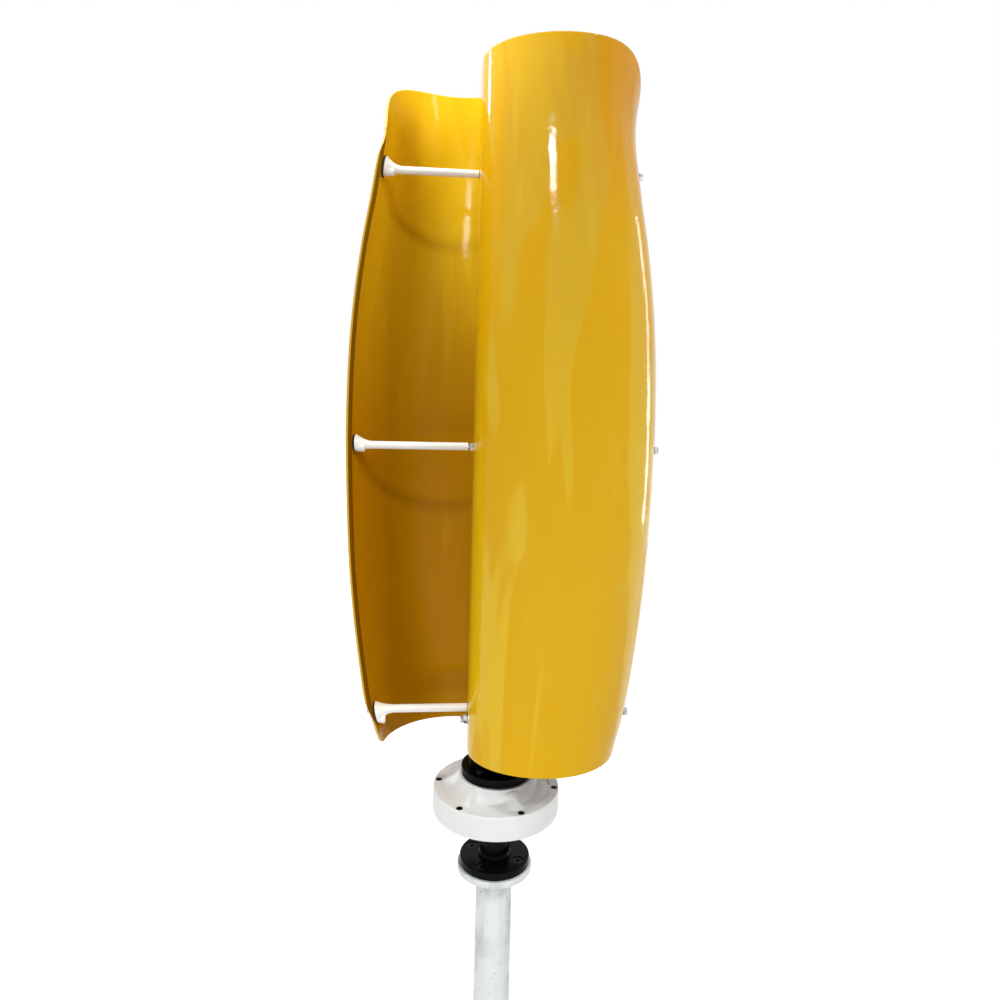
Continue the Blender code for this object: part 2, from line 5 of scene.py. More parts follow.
import bmesh
import bpy
import numpy as np
from bpy.props import FloatProperty, FloatVectorProperty, IntProperty, PointerProperty
from mathutils import Matrix, Vector


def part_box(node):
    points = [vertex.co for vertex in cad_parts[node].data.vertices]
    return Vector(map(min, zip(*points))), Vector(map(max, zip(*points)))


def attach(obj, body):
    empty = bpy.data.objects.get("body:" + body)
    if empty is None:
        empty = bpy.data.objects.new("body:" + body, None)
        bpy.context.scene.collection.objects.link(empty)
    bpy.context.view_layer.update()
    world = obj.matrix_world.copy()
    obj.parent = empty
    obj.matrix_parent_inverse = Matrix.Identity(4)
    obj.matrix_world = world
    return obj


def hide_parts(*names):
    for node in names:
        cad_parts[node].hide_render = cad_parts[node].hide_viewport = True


bl_info = {
    "name": "Vertical axis turbine",
    "version": (1, 0, 0),
    "blender": (4, 5, 0),
    "location": "3D View > Sidebar > Turbine",
    "description": "Finished blades, rods, generator, hub and mast round the turbine's CAD frame",
    "category": "Object",
}

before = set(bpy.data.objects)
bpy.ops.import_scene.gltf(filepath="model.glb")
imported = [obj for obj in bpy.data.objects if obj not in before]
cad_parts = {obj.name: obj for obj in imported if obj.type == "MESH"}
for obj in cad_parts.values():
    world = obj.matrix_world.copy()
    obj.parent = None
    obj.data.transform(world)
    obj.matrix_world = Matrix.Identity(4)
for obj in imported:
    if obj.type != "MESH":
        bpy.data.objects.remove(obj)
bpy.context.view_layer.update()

# ---- sizes read from the frame ------------------------------------------------------------
BLADE_LOW, BLADE_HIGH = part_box("blade_a")
POST_LOW, POST_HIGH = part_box("center_post")
CASE_LOW, CASE_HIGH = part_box("casing_body")
COVER_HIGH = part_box("casing_cover")[1]
HUB_LOW, HUB_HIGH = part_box("hub_disc")
SHAFT_LOW, SHAFT_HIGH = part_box("stator_shaft")
PLATE_LOW, PLATE_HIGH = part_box("shaft_flange")
MAST_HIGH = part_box("mast_tube")[1]
COLLAR_LOW, COLLAR_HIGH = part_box("mast_flange")


def middle(node):
    low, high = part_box(node)
    return (low + high) / 2


# ---- sizes shared with the CAD source -----------------------------------------------------
GAP = 0.0003
BLADE_Z = (BLADE_LOW.z, BLADE_HIGH.z)
INNER_X = -BLADE_LOW.x                    # outer face of the straight inner wall
INNER_FLAT = (BLADE_HIGH.y, 0.0155)       # flat inner wall, behind and ahead of the chord
LIP, LIP_RADIUS = 0.0046, 0.0062
CURL = (10, 75)                           # degrees of curl of the lip, at the ends and between
EDGE_STATIONS = ((0.374, 0.163), (0.420, 0.1755), (0.500, 0.1895), (0.600, 0.202), (0.710, 0.209),
                 (0.830, 0.212), (0.950, 0.208), (1.050, 0.197), (1.130, 0.184), (1.210, 0.175),
                 (1.297, 0.187))
DEPTH_STATIONS = ((0.374, 0.096), (0.600, 0.102), (0.830, 0.106), (1.060, 0.107), (1.297, 0.107))
TOP_CORNER, TOP_POWER = (0.090, 0.140), 2.8
BOTTOM_CORNER = (0.0205, 0.0207)
ROD_Y = -0.0110
FOOT_R = (0.0138, 0.0118, 0.0136)
FOOT_LIFT = (-0.0045, 0.0026, 0.0038)
FOOT_LENGTH = 0.0280
BOSS_SHIFT, STUD_DEPTH = 0.0028, 0.018    # boss towards the rear, and a stud's bore in its rod
PAD_T, PAD_MARGIN, PAD_GAP = 0.0016, 0.0008, 0.0007
FOOT_FACE = -PAD_GAP - PAD_T - GAP        # end of a rod's foot, measured from the bowed wall
NUT_ROD = 2                               # the rod whose lock nut stands clear of the wall
BOSS_R, RING_R = 0.0505, 0.0722            # raised middle and flat outer ring of the cover
COVER_SCREW_R, COVER_SCREW_PHASE = 0.0790, -10.8
FLANGE_PITCH_R, FLANGE_PHASE = 0.0350, 58.0
HALF_TURN = Matrix.Rotation(math.pi, 4, "Z")
FLANGE_HOLE_R = 0.0044
WHITE = (1.0, 1.0, 1.0, 1.0)


# ---- settings -----------------------------------------------------------------------------
class BladeSettings(bpy.types.PropertyGroup):
    wall: FloatProperty(name="Wall", description="Thickness of the laminate",
                        default=0.0030, min=0.001, max=0.006, unit="LENGTH")
    trim: FloatProperty(name="Trimmed edge", description="Rounding of the sanded laminate edge",
                        default=0.0006, min=0.0, max=0.0014, unit="LENGTH")
    gelcoat: FloatVectorProperty(name="Gelcoat", description="Colour of the outer gelcoat",
                                 default=(0.72, 0.450, 0.006), size=3, min=0, max=1, subtype="COLOR")
    # Painted reflection: towards the top end the outer gelcoat darkens to this colour.
    top: FloatVectorProperty(name="Top end", description="Colour of the outer gelcoat at the top",
                             default=(0.60, 0.345, 0.008), size=3, min=0, max=1, subtype="COLOR")
    inside: FloatVectorProperty(name="Inside", description="Colour of the inner gelcoat at the top",
                                default=(0.74, 0.47, 0.010), size=3, min=0, max=1, subtype="COLOR")
    # Painted shade: lower down, the inner gelcoat takes this darker colour for the shade inside the scoop.
    inside_shade: FloatVectorProperty(name="Amber", description="Colour of the inner gelcoat lower down",
                               default=(0.47, 0.206, 0.001), size=3, min=0, max=1, subtype="COLOR")
    wave: FloatProperty(name="Waviness", description="Height of the long waves in the moulded skin",
                        default=0.0040, min=0.0, max=0.02, unit="LENGTH")
    columns: IntProperty(name="Columns", description="Faces across the bowed section",
                         default=112, min=24, max=200)
    rows: IntProperty(name="Rows", description="Faces up the blade", default=190, min=24, max=300)


class RodSettings(bpy.types.PropertyGroup):
    colour: FloatVectorProperty(name="Rod colour", description="Colour of the moulded rods",
                                default=(0.84, 0.83, 0.80), size=3, min=0, max=1, subtype="COLOR")
    boss_radius: FloatProperty(name="Boss radius", description="Radius of the boss under each foot",
                               default=0.0064, min=0.003, max=0.008, unit="LENGTH")
    boss_length: FloatProperty(name="Boss length", description="Reach of the boss from the blade wall",
                               default=0.0155, min=0.008, max=0.020, unit="LENGTH")
    segments: IntProperty(name="Segments", description="Faces round each rod", default=48, min=12, max=96)


class GeneratorSettings(bpy.types.PropertyGroup):
    coat: FloatVectorProperty(name="White coat", description="Colour of the casing's powder coat",
                              default=(0.750, 0.765, 0.755), size=3, min=0, max=1, subtype="COLOR")
    black: FloatVectorProperty(name="Black coat", description="Colour of the gloss black coat",
                               default=(0.003, 0.003, 0.003), size=3, min=0, max=1, subtype="COLOR")
    ribs: IntProperty(name="Ribs", description="Number of ribs and screws on the cover",
                      default=6, min=2, max=12)
    flank: FloatProperty(name="Rib flank", description="Share of each pocket under the steep side",
                         default=0.17, min=0.02, max=0.4)
    ramp: FloatProperty(name="Ramp start", description="Share of each pocket before it rises again",
                        default=0.38, min=0.3, max=0.9)


class MastSettings(bpy.types.PropertyGroup):
    coat: FloatVectorProperty(name="Mast coat", description="Colour of the mast's thin coat",
                              default=(0.72, 0.75, 0.75), size=3, min=0, max=1, subtype="COLOR")
    stain: FloatVectorProperty(name="Mast stain", description="Colour of the darker patches",
                               default=(0.46, 0.50, 0.52), size=3, min=0, max=1, subtype="COLOR")


class StageSettings(bpy.types.PropertyGroup):
    key_power: FloatProperty(name="Key", description="Power of the main soft light, on the right",
                             default=38.0, min=0.0, subtype="POWER")
    front_power: FloatProperty(name="Front", description="Power of the small high light in front",
                               default=24.0, min=0.0, subtype="POWER")
    top_power: FloatProperty(name="Top", description="Power of the near lamp over the rear blade",
                             default=6.6, min=0.0, subtype="POWER")
    fill_power: FloatProperty(name="Fill", description="Power of the low left light on the generator",
                              default=1.7, min=0.0, subtype="POWER")
    glint_power: FloatProperty(name="Glints", description="Power of each narrow light seen in the gloss",
                               default=3.5, min=0.0, subtype="POWER")
    ambient: FloatProperty(name="Ambient", description="Strength of the room's light",
                           default=0.36, min=0.0, max=2.0)
    distance: FloatProperty(name="Camera distance", description="Camera to rotor axis",
                            default=0.990, min=0.3, unit="LENGTH")
    turn: FloatProperty(name="Camera turn", description="Turn of the view round the rotor axis",
                        default=math.radians(5.5), subtype="ANGLE")
    height: FloatProperty(name="Camera height", description="Camera height above the mast's foot",
                          default=0.83, min=0.0, unit="LENGTH")


# ---- node tree helpers --------------------------------------------------------------------
class Graph:
    """Short calls for adding nodes to a tree and linking them."""

    def __init__(self, tree):
        self.tree = tree
        self.count = 0

    def node(self, kind, feeds=(), **settings):
        """New node with these settings; feeds gives inputs by name or by place."""
        made = self.tree.nodes.new(kind)
        made.location = (220 * (self.count // 5), -180 * (self.count % 5))
        self.count += 1
        for key, value in settings.items():
            setattr(made, key, value)
        pairs = feeds.items() if isinstance(feeds, dict) else enumerate(feeds)
        for key, value in pairs:
            self.feed(made.inputs[key], value)
        return made

    def feed(self, socket, value):
        """Links an output to the socket, or sets the socket's constant."""
        if isinstance(value, bpy.types.NodeSocket):
            self.tree.links.new(value, socket)
        else:
            socket.default_value = value

    def math(self, operation, *values):
        return self.node("ShaderNodeMath", values, operation=operation).outputs[0]

    def times(self, *values):
        """Product of two or more values, taken from the left."""
        product = values[0]
        for value in values[1:]:
            product = self.math("MULTIPLY", product, value)
        return product

    def less(self, value, other):
        return self.math("SUBTRACT", value, other)

    def join(self, x, y, z):
        return self.node("ShaderNodeCombineXYZ", (x, y, z)).outputs[0]

    def split(self, vector):
        return self.node("ShaderNodeSeparateXYZ", (vector,)).outputs

    def attribute(self, name, kind="FLOAT"):
        feeds = {"Name": name}
        return self.node("GeometryNodeInputNamedAttribute", feeds, data_type=kind).outputs["Attribute"]

    def pick(self, condition, no, yes):
        """yes where the condition holds, else no."""
        feeds = {"Switch": condition, "False": no, "True": yes}
        return self.node("GeometryNodeSwitch", feeds, input_type="VECTOR").outputs[0]


def ease(graph, value, low, high, to_low, to_high, kind="SMOOTHSTEP"):
    """Clamped map range from (low, high) to (to_low, to_high)."""
    feeds = {"Value": value, "From Min": low, "From Max": high, "To Min": to_low, "To Max": to_high}
    return graph.node("ShaderNodeMapRange", feeds, interpolation_type=kind).outputs["Result"]


def spread(graph, value, low, high, to_low=0.0, to_high=1.0):
    return ease(graph, value, low, high, to_low, to_high, "LINEAR")


def geometry_tree(name, inputs):
    """New geometry node tree with a geometry input and output and these named number inputs."""
    tree = bpy.data.node_groups.new(name, "GeometryNodeTree")
    face = tree.interface
    face.new_socket(name="Geometry", in_out="INPUT", socket_type="NodeSocketGeometry")
    for label, kind, value in inputs:
        socket = face.new_socket(name=label, in_out="INPUT", socket_type="NodeSocket" + kind)
        socket.default_value = value
    face.new_socket(name="Material", in_out="INPUT", socket_type="NodeSocketMaterial")
    face.new_socket(name="Geometry", in_out="OUTPUT", socket_type="NodeSocketGeometry")
    graph = Graph(tree)
    return graph, graph.node("NodeGroupInput").outputs


def close_tree(graph, geometry, material):
    """Ends the tree in Realize Instances and Set Material."""
    real = graph.node("GeometryNodeRealizeInstances", {"Geometry": geometry}).outputs[0]
    finish = graph.node("GeometryNodeSetMaterial", {"Geometry": real, "Material": material})
    graph.node("NodeGroupOutput", {"Geometry": finish.outputs[0]})
    return graph.tree


def bake(obj):
    """Keeps the evaluated shape as the object's plain mesh and drops its modifiers."""
    depsgraph = bpy.context.evaluated_depsgraph_get()
    mesh = bpy.data.meshes.new_from_object(obj.evaluated_get(depsgraph), depsgraph=depsgraph)
    old = obj.data
    obj.modifiers.clear()
    obj.data = mesh
    bpy.data.meshes.remove(old)
    mesh.name = obj.name


def grow(obj, tree, **values):
    """Runs the tree on the object with the named inputs and keeps the result."""
    modifier = obj.modifiers.new(tree.name, "NODES")
    modifier.node_group = tree
    wanted = {label.replace("_", " ").lower(): value for label, value in values.items()}
    for item in tree.interface.items_tree:
        if item.in_out == "INPUT" and item.name.lower() in wanted:
            modifier[item.identifier] = wanted.pop(item.name.lower())
    if wanted:
        raise ValueError("the tree %s has no input named %s" % (tree.name, sorted(wanted)))
    bake(obj)


def shared_tree(name, build):
    return bpy.data.node_groups.get(name) or build(name)


def build_ring_tree(name):
    """Equal turned copies of the piece round the Z axis."""
    graph, given = geometry_tree(name, (("Count", "Int", 6), ("Phase", "Float", 0.0)))
    points = graph.node("GeometryNodePoints", {"Count": given["Count"]}).outputs[0]
    index = graph.node("GeometryNodeInputIndex").outputs[0]
    step = graph.math("DIVIDE", math.tau, given["Count"])
    turn = graph.math("MULTIPLY_ADD", index, step, given["Phase"])
    feeds = {"Points": points, "Instance": given["Geometry"], "Rotation": graph.join(0.0, 0.0, turn)}
    copies = graph.node("GeometryNodeInstanceOnPoints", feeds).outputs[0]
    return close_tree(graph, copies, given["Material"])


def build_blade_tree(name):
    """Bends a flat shell into the S blade: straight inner wall, half ellipse and curled lip."""
    sizes = (("Inner wall", "Float", INNER_X), ("Wall behind", "Float", INNER_FLAT[0]),
             ("Wall ahead", "Float", INNER_FLAT[1]), ("Lip", "Float", LIP),
             ("Lip radius", "Float", LIP_RADIUS), ("Thickness", "Float", 0.003))
    graph, given = geometry_tree(name, sizes)
    zone, share = graph.attribute("zone", "INT"), graph.attribute("share")
    edge, depth, height = (graph.attribute(label) for label in ("edge", "depth", "height"))
    inset = graph.times(graph.attribute("inset"), given["Thickness"])
    rim = graph.less(edge, given["Lip"])
    centre = graph.times(graph.less(rim, given["Inner wall"]), 0.5)
    half = graph.times(graph.math("ADD", rim, given["Inner wall"]), 0.5)

    reach = graph.math("ADD", given["Wall behind"], given["Wall ahead"])
    wall_y = graph.less(given["Wall behind"], graph.times(reach, share))
    wall = graph.join(graph.less(inset, given["Inner wall"]), wall_y, height)

    across, along = graph.math("COSINE", share), graph.math("SINE", share)
    shift = graph.times(graph.math("GREATER_THAN", across, 0.0), given["Wall ahead"])
    swell = graph.less(graph.less(depth, shift), inset)
    arc_x = graph.less(centre, graph.times(graph.less(half, inset), across))
    arc_y = graph.times(graph.math("MULTIPLY_ADD", swell, along, shift), -1.0)
    arc = graph.join(arc_x, arc_y, height)

    radius = graph.math("ADD", given["Lip radius"], inset)
    pivot = graph.math("ADD", rim, given["Lip radius"])
    lip = graph.join(graph.less(pivot, graph.times(radius, across)), graph.times(radius, along), height)

    on_arc = graph.math("COMPARE", zone, 1.0, 0.1)
    on_lip = graph.math("COMPARE", zone, 2.0, 0.1)
    spot = graph.pick(on_lip, graph.pick(on_arc, wall, arc), lip)
    feeds = {"Geometry": given["Geometry"], "Position": spot}
    moved = graph.node("GeometryNodeSetPosition", feeds).outputs[0]
    return close_tree(graph, moved, given["Material"])


def build_cover_tree(name):
    """Raises the ribs of a turned cover: each pocket drops steeply from one rib and climbs to the next."""
    sizes = (("Count", "Int", 6), ("Phase", "Float", 0.0), ("Floor", "Float", 0.0),
             ("Boss top", "Float", 0.018), ("Ring top", "Float", 0.002), ("Crest top", "Float", 0.014),
             ("Boss radius", "Float", BOSS_R), ("Ring radius", "Float", RING_R),
             ("Flank", "Float", 0.17), ("Ramp", "Float", 0.38))
    graph, given = geometry_tree(name, sizes)
    ring_top, floor = given["Ring top"], given["Floor"]
    x, y, z = graph.split(graph.node("GeometryNodeInputPosition").outputs[0])
    radius = graph.math("SQRT", graph.math("MULTIPLY_ADD", x, x, graph.times(y, y)))
    angle = graph.less(graph.math("ARCTAN2", y, x), given["Phase"])
    part = graph.math("FRACT", graph.times(angle, graph.math("DIVIDE", given["Count"], math.tau)))

    steep = ease(graph, part, 0.012, given["Flank"], 1.0, 0.0)
    climb = spread(graph, part, given["Ramp"], 1.0)
    share = graph.math("MAXIMUM", steep, graph.math("POWER", climb, 1.6))
    inner = graph.math("ADD", given["Boss radius"], 0.001)
    cone = spread(graph, radius, inner, given["Ring radius"], given["Crest top"], ring_top)
    near = graph.math("LESS_THAN", radius, 0.062)
    gain = graph.times(near, graph.less(given["Boss top"], ring_top))
    level = spread(graph, z, floor, graph.math("ADD", ring_top, gain), 1.0, 0.0)
    rise = graph.times(share, graph.less(cone, floor), level)
    inside = graph.math("LESS_THAN", radius, graph.math("ADD", given["Ring radius"], 0.0006))
    above = graph.math("GREATER_THAN", z, graph.less(floor, 0.0001))
    lift = graph.times(rise, graph.times(inside, above))
    feeds = {"Geometry": given["Geometry"], "Offset": graph.join(0.0, 0.0, lift)}
    moved = graph.node("GeometryNodeSetPosition", feeds).outputs[0]
    return close_tree(graph, moved, given["Material"])


# ---- mesh helpers -------------------------------------------------------------------------
def link_object(name, data):
    obj = bpy.data.objects.new(name, data)
    bpy.context.scene.collection.objects.link(obj)
    return obj


def link_mesh(name, bm, angle=35.0):
    """Object at the origin from a bmesh, faces outward, smooth but for edges over the angle."""
    bmesh.ops.remove_doubles(bm, verts=bm.verts, dist=0.000005)
    bmesh.ops.recalc_face_normals(bm, faces=bm.faces)
    mesh = bpy.data.meshes.new(name)
    bm.to_mesh(mesh)
    bm.free()
    obj = link_object(name, mesh)
    smooth(obj, angle)
    return obj


def smooth(obj, angle=35.0):
    obj.data.shade_smooth()
    obj.data.set_sharp_from_angle(angle=math.radians(angle))


def shape(fill, *values):
    """New bmesh filled by one of the functions below."""
    bm = bmesh.new()
    fill(bm, *values)
    return bm


def lathe(bm, profile, segments=32, centre=(0.0, 0.0), axis="Z"):
    """Adds a closed turned solid about the upright or the X axis through the centre.

    The profile is a loop of (radius, distance along the axis) points; radius 0 is a pole."""
    rings = []
    for r, level in profile:
        turns = [math.tau * k / segments for k in range(segments if r else 1)]
        spots = [(centre[0] + r * math.cos(t), centre[1] + r * math.sin(t)) for t in turns]
        rings.append([bm.verts.new((u, v, level) if axis == "Z" else (level, u, v)) for u, v in spots])
    bridge(bm, rings, segments)


def lathe_all(bm, profile, spots):
    """Adds the same upright turned solid at every spot."""
    for spot in spots:
        lathe(bm, profile, 32, spot)


def bridge(bm, rings, segments):
    """Faces between neighbouring rings; a ring of one vertex is a pole, else the loop closes."""
    pairs = list(zip(rings, rings[1:]))
    if len(rings[0]) > 1:
        pairs.append((rings[-1], rings[0]))
    for low, high in pairs:
        for k in range(segments):
            n = (k + 1) % segments
            if len(low) == 1:
                bm.faces.new((low[0], high[k], high[n]))
            elif len(high) == 1:
                bm.faces.new((low[k], low[n], high[0]))
            else:
                bm.faces.new((low[k], low[n], high[n], high[k]))


def fillet(corner, before, after, radius, steps=5):
    """Points of a rounded corner between two neighbours of a profile point."""
    p, room = Vector(corner), 0.49
    sides = [Vector(before) - p, Vector(after) - p]
    a, b = (side.normalized() for side in sides)
    half = a.angle(b) / 2
    back = min(radius / math.tan(half), room * sides[0].length, room * sides[1].length)
    start, end = p + a * back, p + b * back
    centre = p + (a + b).normalized() * (back / math.cos(half))
    ways = [(start.lerp(end, k / steps) - centre).normalized() for k in range(steps + 1)]
    return [tuple(centre + way * (start - centre).length) for way in ways]


def rounded(profile, radii, steps=5):
    """Profile with its corners filleted; radii gives one radius per point, 0 for a sharp one."""
    points = []
    count = len(profile)
    for k, (corner, radius) in enumerate(zip(profile, radii)):
        if radius <= 0:
            points.append(corner)
            continue
        points += fillet(corner, profile[k - 1], profile[(k + 1) % count], radius, steps)
    return points


def band(inner, outer, low, high):
    """Profile of a plain ring, or of a disc where inner is 0."""
    return [(inner, low), (outer, low), (outer, high), (inner, high)]


def turned(name, profile, radii, segments=128):
    return link_mesh(name, shape(lathe, rounded(profile, radii), segments))


def carve(obj, bm, operation="DIFFERENCE"):
    """Cuts the bmesh's closed shapes from the object, or joins them on with UNION."""
    tool = link_mesh("tool", bm)
    modifier = obj.modifiers.new("carve", "BOOLEAN")
    modifier.operation = operation
    modifier.solver = "EXACT"
    modifier.object = tool
    bake(obj)
    bpy.data.objects.remove(tool, do_unlink=True)
    smooth(obj)


def ring_spots(radius, count, phase=0.0):
    angles = [math.radians(phase) + math.tau * k / count for k in range(count)]
    return [(radius * math.cos(a), radius * math.sin(a)) for a in angles]


def ring_copies(obj, count, material, phase=0.0):
    """Turns the piece into equal copies round the Z axis."""
    tree = shared_tree("Turned copies", build_ring_tree)
    grow(obj, tree, count=count, phase=phase, material=material)
    smooth(obj)


def paint(obj, *materials):
    obj.data.materials.clear()
    for material in materials:
        obj.data.materials.append(material)


def place(obj, body, slot, *nodes):
    """Puts a finished piece on its body in place of its CAD nodes."""
    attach(obj, body)
    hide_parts(*nodes)


# ---- materials ----------------------------------------------------------------------------
class Coat(Graph):
    """A new material and its node tree, with short calls for its Principled shader."""

    def __init__(self, name, colour, roughness, metallic=0.0, specular=0.5):
        self.material = bpy.data.materials.new(name)
        self.material.use_nodes = True
        self.material.diffuse_color = (*colour, 1.0)
        super().__init__(self.material.node_tree)
        self.colour = colour
        self.sockets = self.tree.nodes["Principled BSDF"].inputs
        self.sockets["Base Color"].default_value = (*colour, 1.0)
        self.sockets["Roughness"].default_value = roughness
        self.sockets["Metallic"].default_value = metallic
        self.sockets["Specular IOR Level"].default_value = specular

    def set(self, socket, value):
        self.feed(self.sockets[socket], value)

    def where(self):
        return self.node("ShaderNodeTexCoord").outputs["Object"]

    def noise(self, scale, detail=3.0, stretch=(1.0, 1.0, 1.0), distortion=0.0):
        """Noise on object coordinates, stretched along each axis."""
        spot = self.node("ShaderNodeMapping", {"Vector": self.where(), "Scale": stretch}).outputs[0]
        feeds = {"Vector": spot, "Scale": scale, "Detail": detail, "Distortion": distortion}
        return self.node("ShaderNodeTexNoise", feeds).outputs["Fac"]

    def patches(self, low, high, to_low, to_high, *pattern):
        """Noise of this pattern, spread from (low, high) to (to_low, to_high)."""
        return spread(self, self.noise(*pattern), low, high, to_low, to_high)

    def mix(self, share, first, second):
        """Mix of two colours or colour outputs."""
        feeds = {0: share}
        for key, colour in ((6, first), (7, second)):
            feeds[key] = colour if isinstance(colour, bpy.types.NodeSocket) else (*colour, 1.0)
        return self.node("ShaderNodeMix", feeds, data_type="RGBA").outputs[2]

    def shade(self, share, darkness):
        """Darkens the base colour by the share."""
        self.set("Base Color", self.mix(share, self.colour, darker(self.colour, darkness)))

    def bump(self, *layers):
        """Stacks (height output, distance in metres) layers into the shader's normal."""
        normal = None
        for height, distance in layers:
            feeds = {"Strength": 1.0, "Distance": distance, "Height": height}
            if normal is not None:
                feeds["Normal"] = normal
            normal = self.node("ShaderNodeBump", feeds).outputs[0]
        self.set("Normal", normal)


def darker(colour, share):
    return tuple(c * share for c in colour)


def gelcoat(name, colour, deep, reach, lip_shade, rim, wave, roughness, specular, painted_reflections):
    """Glossy pigmented gelcoat: tall bands of painted reflection with lower gloss, painted warm
    reflections at the top end, long waves and a fine orange peel.

    The colour is the one at the top end, and deep the one below once the reach is passed; this
    change with height is painted light: a darker top end outside as a painted reflection, and a
    darker inside lower down as painted shade. The curled lip is painted by its own attribute:
    painted shade at its root and a lighter colour along its outermost edge."""
    coat = Coat(name, colour, roughness, specular=specular)
    at = coat.split(coat.where())
    top = BLADE_Z[1]
    # Tall bands of painted reflection, a deeper orange with lower gloss.
    band = coat.patches(0.48, 0.51, 0.0, 1.0, 13.0, 2.0, (1.0, 1.0, 0.15), 1.1)
    # Strength of the painted warm reflections at the top end.
    end = ease(coat, at["Z"], top - 0.26, top - 0.03, 0.0, painted_reflections * 0.6)
    # Painted reflection: the top end is darker still towards the outer edge.
    outer = ease(coat, coat.math("ABSOLUTE", at["X"]), 0.06, 0.12, 0.0, 2.2)
    # Soft darker patches, then painted reflections: the tall bands, lighter patches, warm patches at the
    # top end and a darker outer top.
    tones = (
        (coat.patches(0.40, 0.62, 0.0, 1.0, 6.0, 2.0, (1.0, 1.0, 0.25)), 0.30, darker(deep, 0.88)),
        (band, painted_reflections, (deep[0] * 0.93, deep[1] * 0.76, 0.001)),
        (coat.patches(0.60, 0.66, 0.0, 1.0, 24.0, 2.0, (1.0, 1.0, 0.16), 0.8), painted_reflections * 0.7,
         (colour[0] * 1.1, colour[1] * 1.2, 0.02)),
        (coat.patches(0.49, 0.53, 0.0, 1.0, 8.0, 2.0, (1.0, 1.0, 0.40), 0.9), end,
         (colour[0] * 0.96, colour[1] * 0.76, 0.003)),
        (outer, end, (colour[0], colour[1] * 0.72, 0.001)),
    )
    # Painted light: colour at the top end turns to deep lower down, a painted reflection outside and
    # painted shade inside.
    base = coat.mix(ease(coat, at["Z"], top - reach, top - 0.05, 1.0, 0.0), colour, deep)
    for pattern, strength, tone in tones:
        base = coat.mix(coat.times(pattern, strength), base, tone)
    # Painted shade at the lip's root, and a lighter colour along its outermost edge.
    lip = coat.node("ShaderNodeAttribute", attribute_name="lip").outputs["Fac"]
    root = spread(coat, lip, 0.02, 0.14)
    base = coat.mix(coat.times(root, 0.85), base, lip_shade)
    coat.set("Base Color", coat.mix(spread(coat, lip, 0.76, 0.84), base, rim))
    gloss = spread(coat, band, 0.0, 1.0, specular, specular * 0.45)
    coat.set("Specular IOR Level", coat.times(gloss, spread(coat, root, 0.0, 1.0, 1.0, 0.08)))
    coat.bump((coat.noise(7.0, 1.0, (1.0, 1.0, 0.35)), wave),
              (coat.noise(30.0, 2.0, (1.0, 1.0, 0.55)), wave * 0.18), (coat.noise(170.0, 2.0), 0.00014))
    return coat.material


def laminate_edge(name, colour):
    """Sanded edge of the glass laminate: pale resin with fine fibre lines."""
    coat = Coat(name, colour, 0.45)
    fibre = coat.patches(0.3, 0.7, 0.0, 1.0, 900.0, 4.0, (1.0, 1.0, 0.2))
    coat.shade(fibre, 0.72)
    coat.bump((fibre, 0.00008))
    return coat.material


def powder_coat(name, colour, roughness, grime=0.12, specular=0.5):
    """Sprayed coat: faint patches, a fine pebbled surface and slightly uneven gloss."""
    coat = Coat(name, colour, roughness, specular=specular)
    coat.shade(coat.patches(0.35, 0.75, 0.0, grime, 18.0, 5.0), 0.62)
    coat.set("Roughness", coat.patches(0.3, 0.7, roughness * 0.8, roughness * 1.25, 60.0, 3.0))
    coat.bump((coat.noise(700.0, 2.0), 0.00004), (coat.noise(40.0, 2.0), 0.0002))
    return coat.material


def moulded_plastic(name, colour):
    """Injection moulded rod plastic with a soft sheen and faint flow marks along it."""
    coat = Coat(name, colour, 0.30)
    coat.shade(coat.patches(0.35, 0.75, 0.0, 0.25, 60.0, 3.0, (0.12, 1.0, 1.0)), 0.86)
    coat.bump((coat.noise(300.0, 2.0), 0.00003))
    return coat.material


def bare_metal(name, colour, roughness):
    """Bare metal: turned marks, small stains and gloss that varies along the turned marks."""
    coat = Coat(name, colour, roughness, metallic=1.0)
    lines = coat.noise(1400.0, 3.0, (1.0, 0.12, 0.12))
    coat.shade(coat.patches(0.45, 0.75, 0.0, 0.5, 220.0, 3.0), 0.55)
    coat.set("Roughness", spread(coat, lines, 0.3, 0.7, roughness * 0.7, roughness * 1.4))
    coat.bump((lines, 0.00002))
    return coat.material


def mast_finish(name, colour, stain):
    """Thin pale coat over galvanised pipe: cloudy patches, specks and runs down the pipe."""
    coat = Coat(name, colour, 0.42)
    cloud = coat.patches(0.47, 0.66, 0.0, 1.0, 24.0, 4.0, (1.0, 1.0, 0.75))
    speck = coat.patches(0.70, 0.76, 0.0, 1.0, 240.0, 2.0)
    runs = coat.patches(0.50, 0.80, 0.0, 0.25, 90.0, 4.0, (1.0, 1.0, 0.06))
    base = coat.mix(cloud, colour, stain)
    base = coat.mix(runs, base, darker(stain, 0.9))
    coat.set("Base Color", coat.mix(speck, base, darker(stain, 0.5)))
    coat.set("Roughness", spread(coat, cloud, 0.0, 1.0, 0.36, 0.55))
    coat.bump((coat.noise(160.0, 3.0), 0.00006), (cloud, 0.0001))
    return coat.material


def rubber(name):
    coat = Coat(name, (0.012, 0.012, 0.012), 0.65)
    grain = coat.noise(1500.0, 2.0)
    coat.set("Roughness", spread(coat, grain, 0.3, 0.7, 0.55, 0.8))
    coat.bump((grain, 0.00004))
    return coat.material


def kept(name, build, *values):
    """The material of that name, made the first time it is asked for."""
    return bpy.data.materials.get(name) or build(name, *values)


def black_oxide():
    return kept("Black_oxide", bare_metal, (0.012, 0.012, 0.013), 0.40)


def gloss_black():
    return kept("Gloss_black", powder_coat, bpy.context.scene.turbine_generator.black, 0.12, 0.10, 0.05)


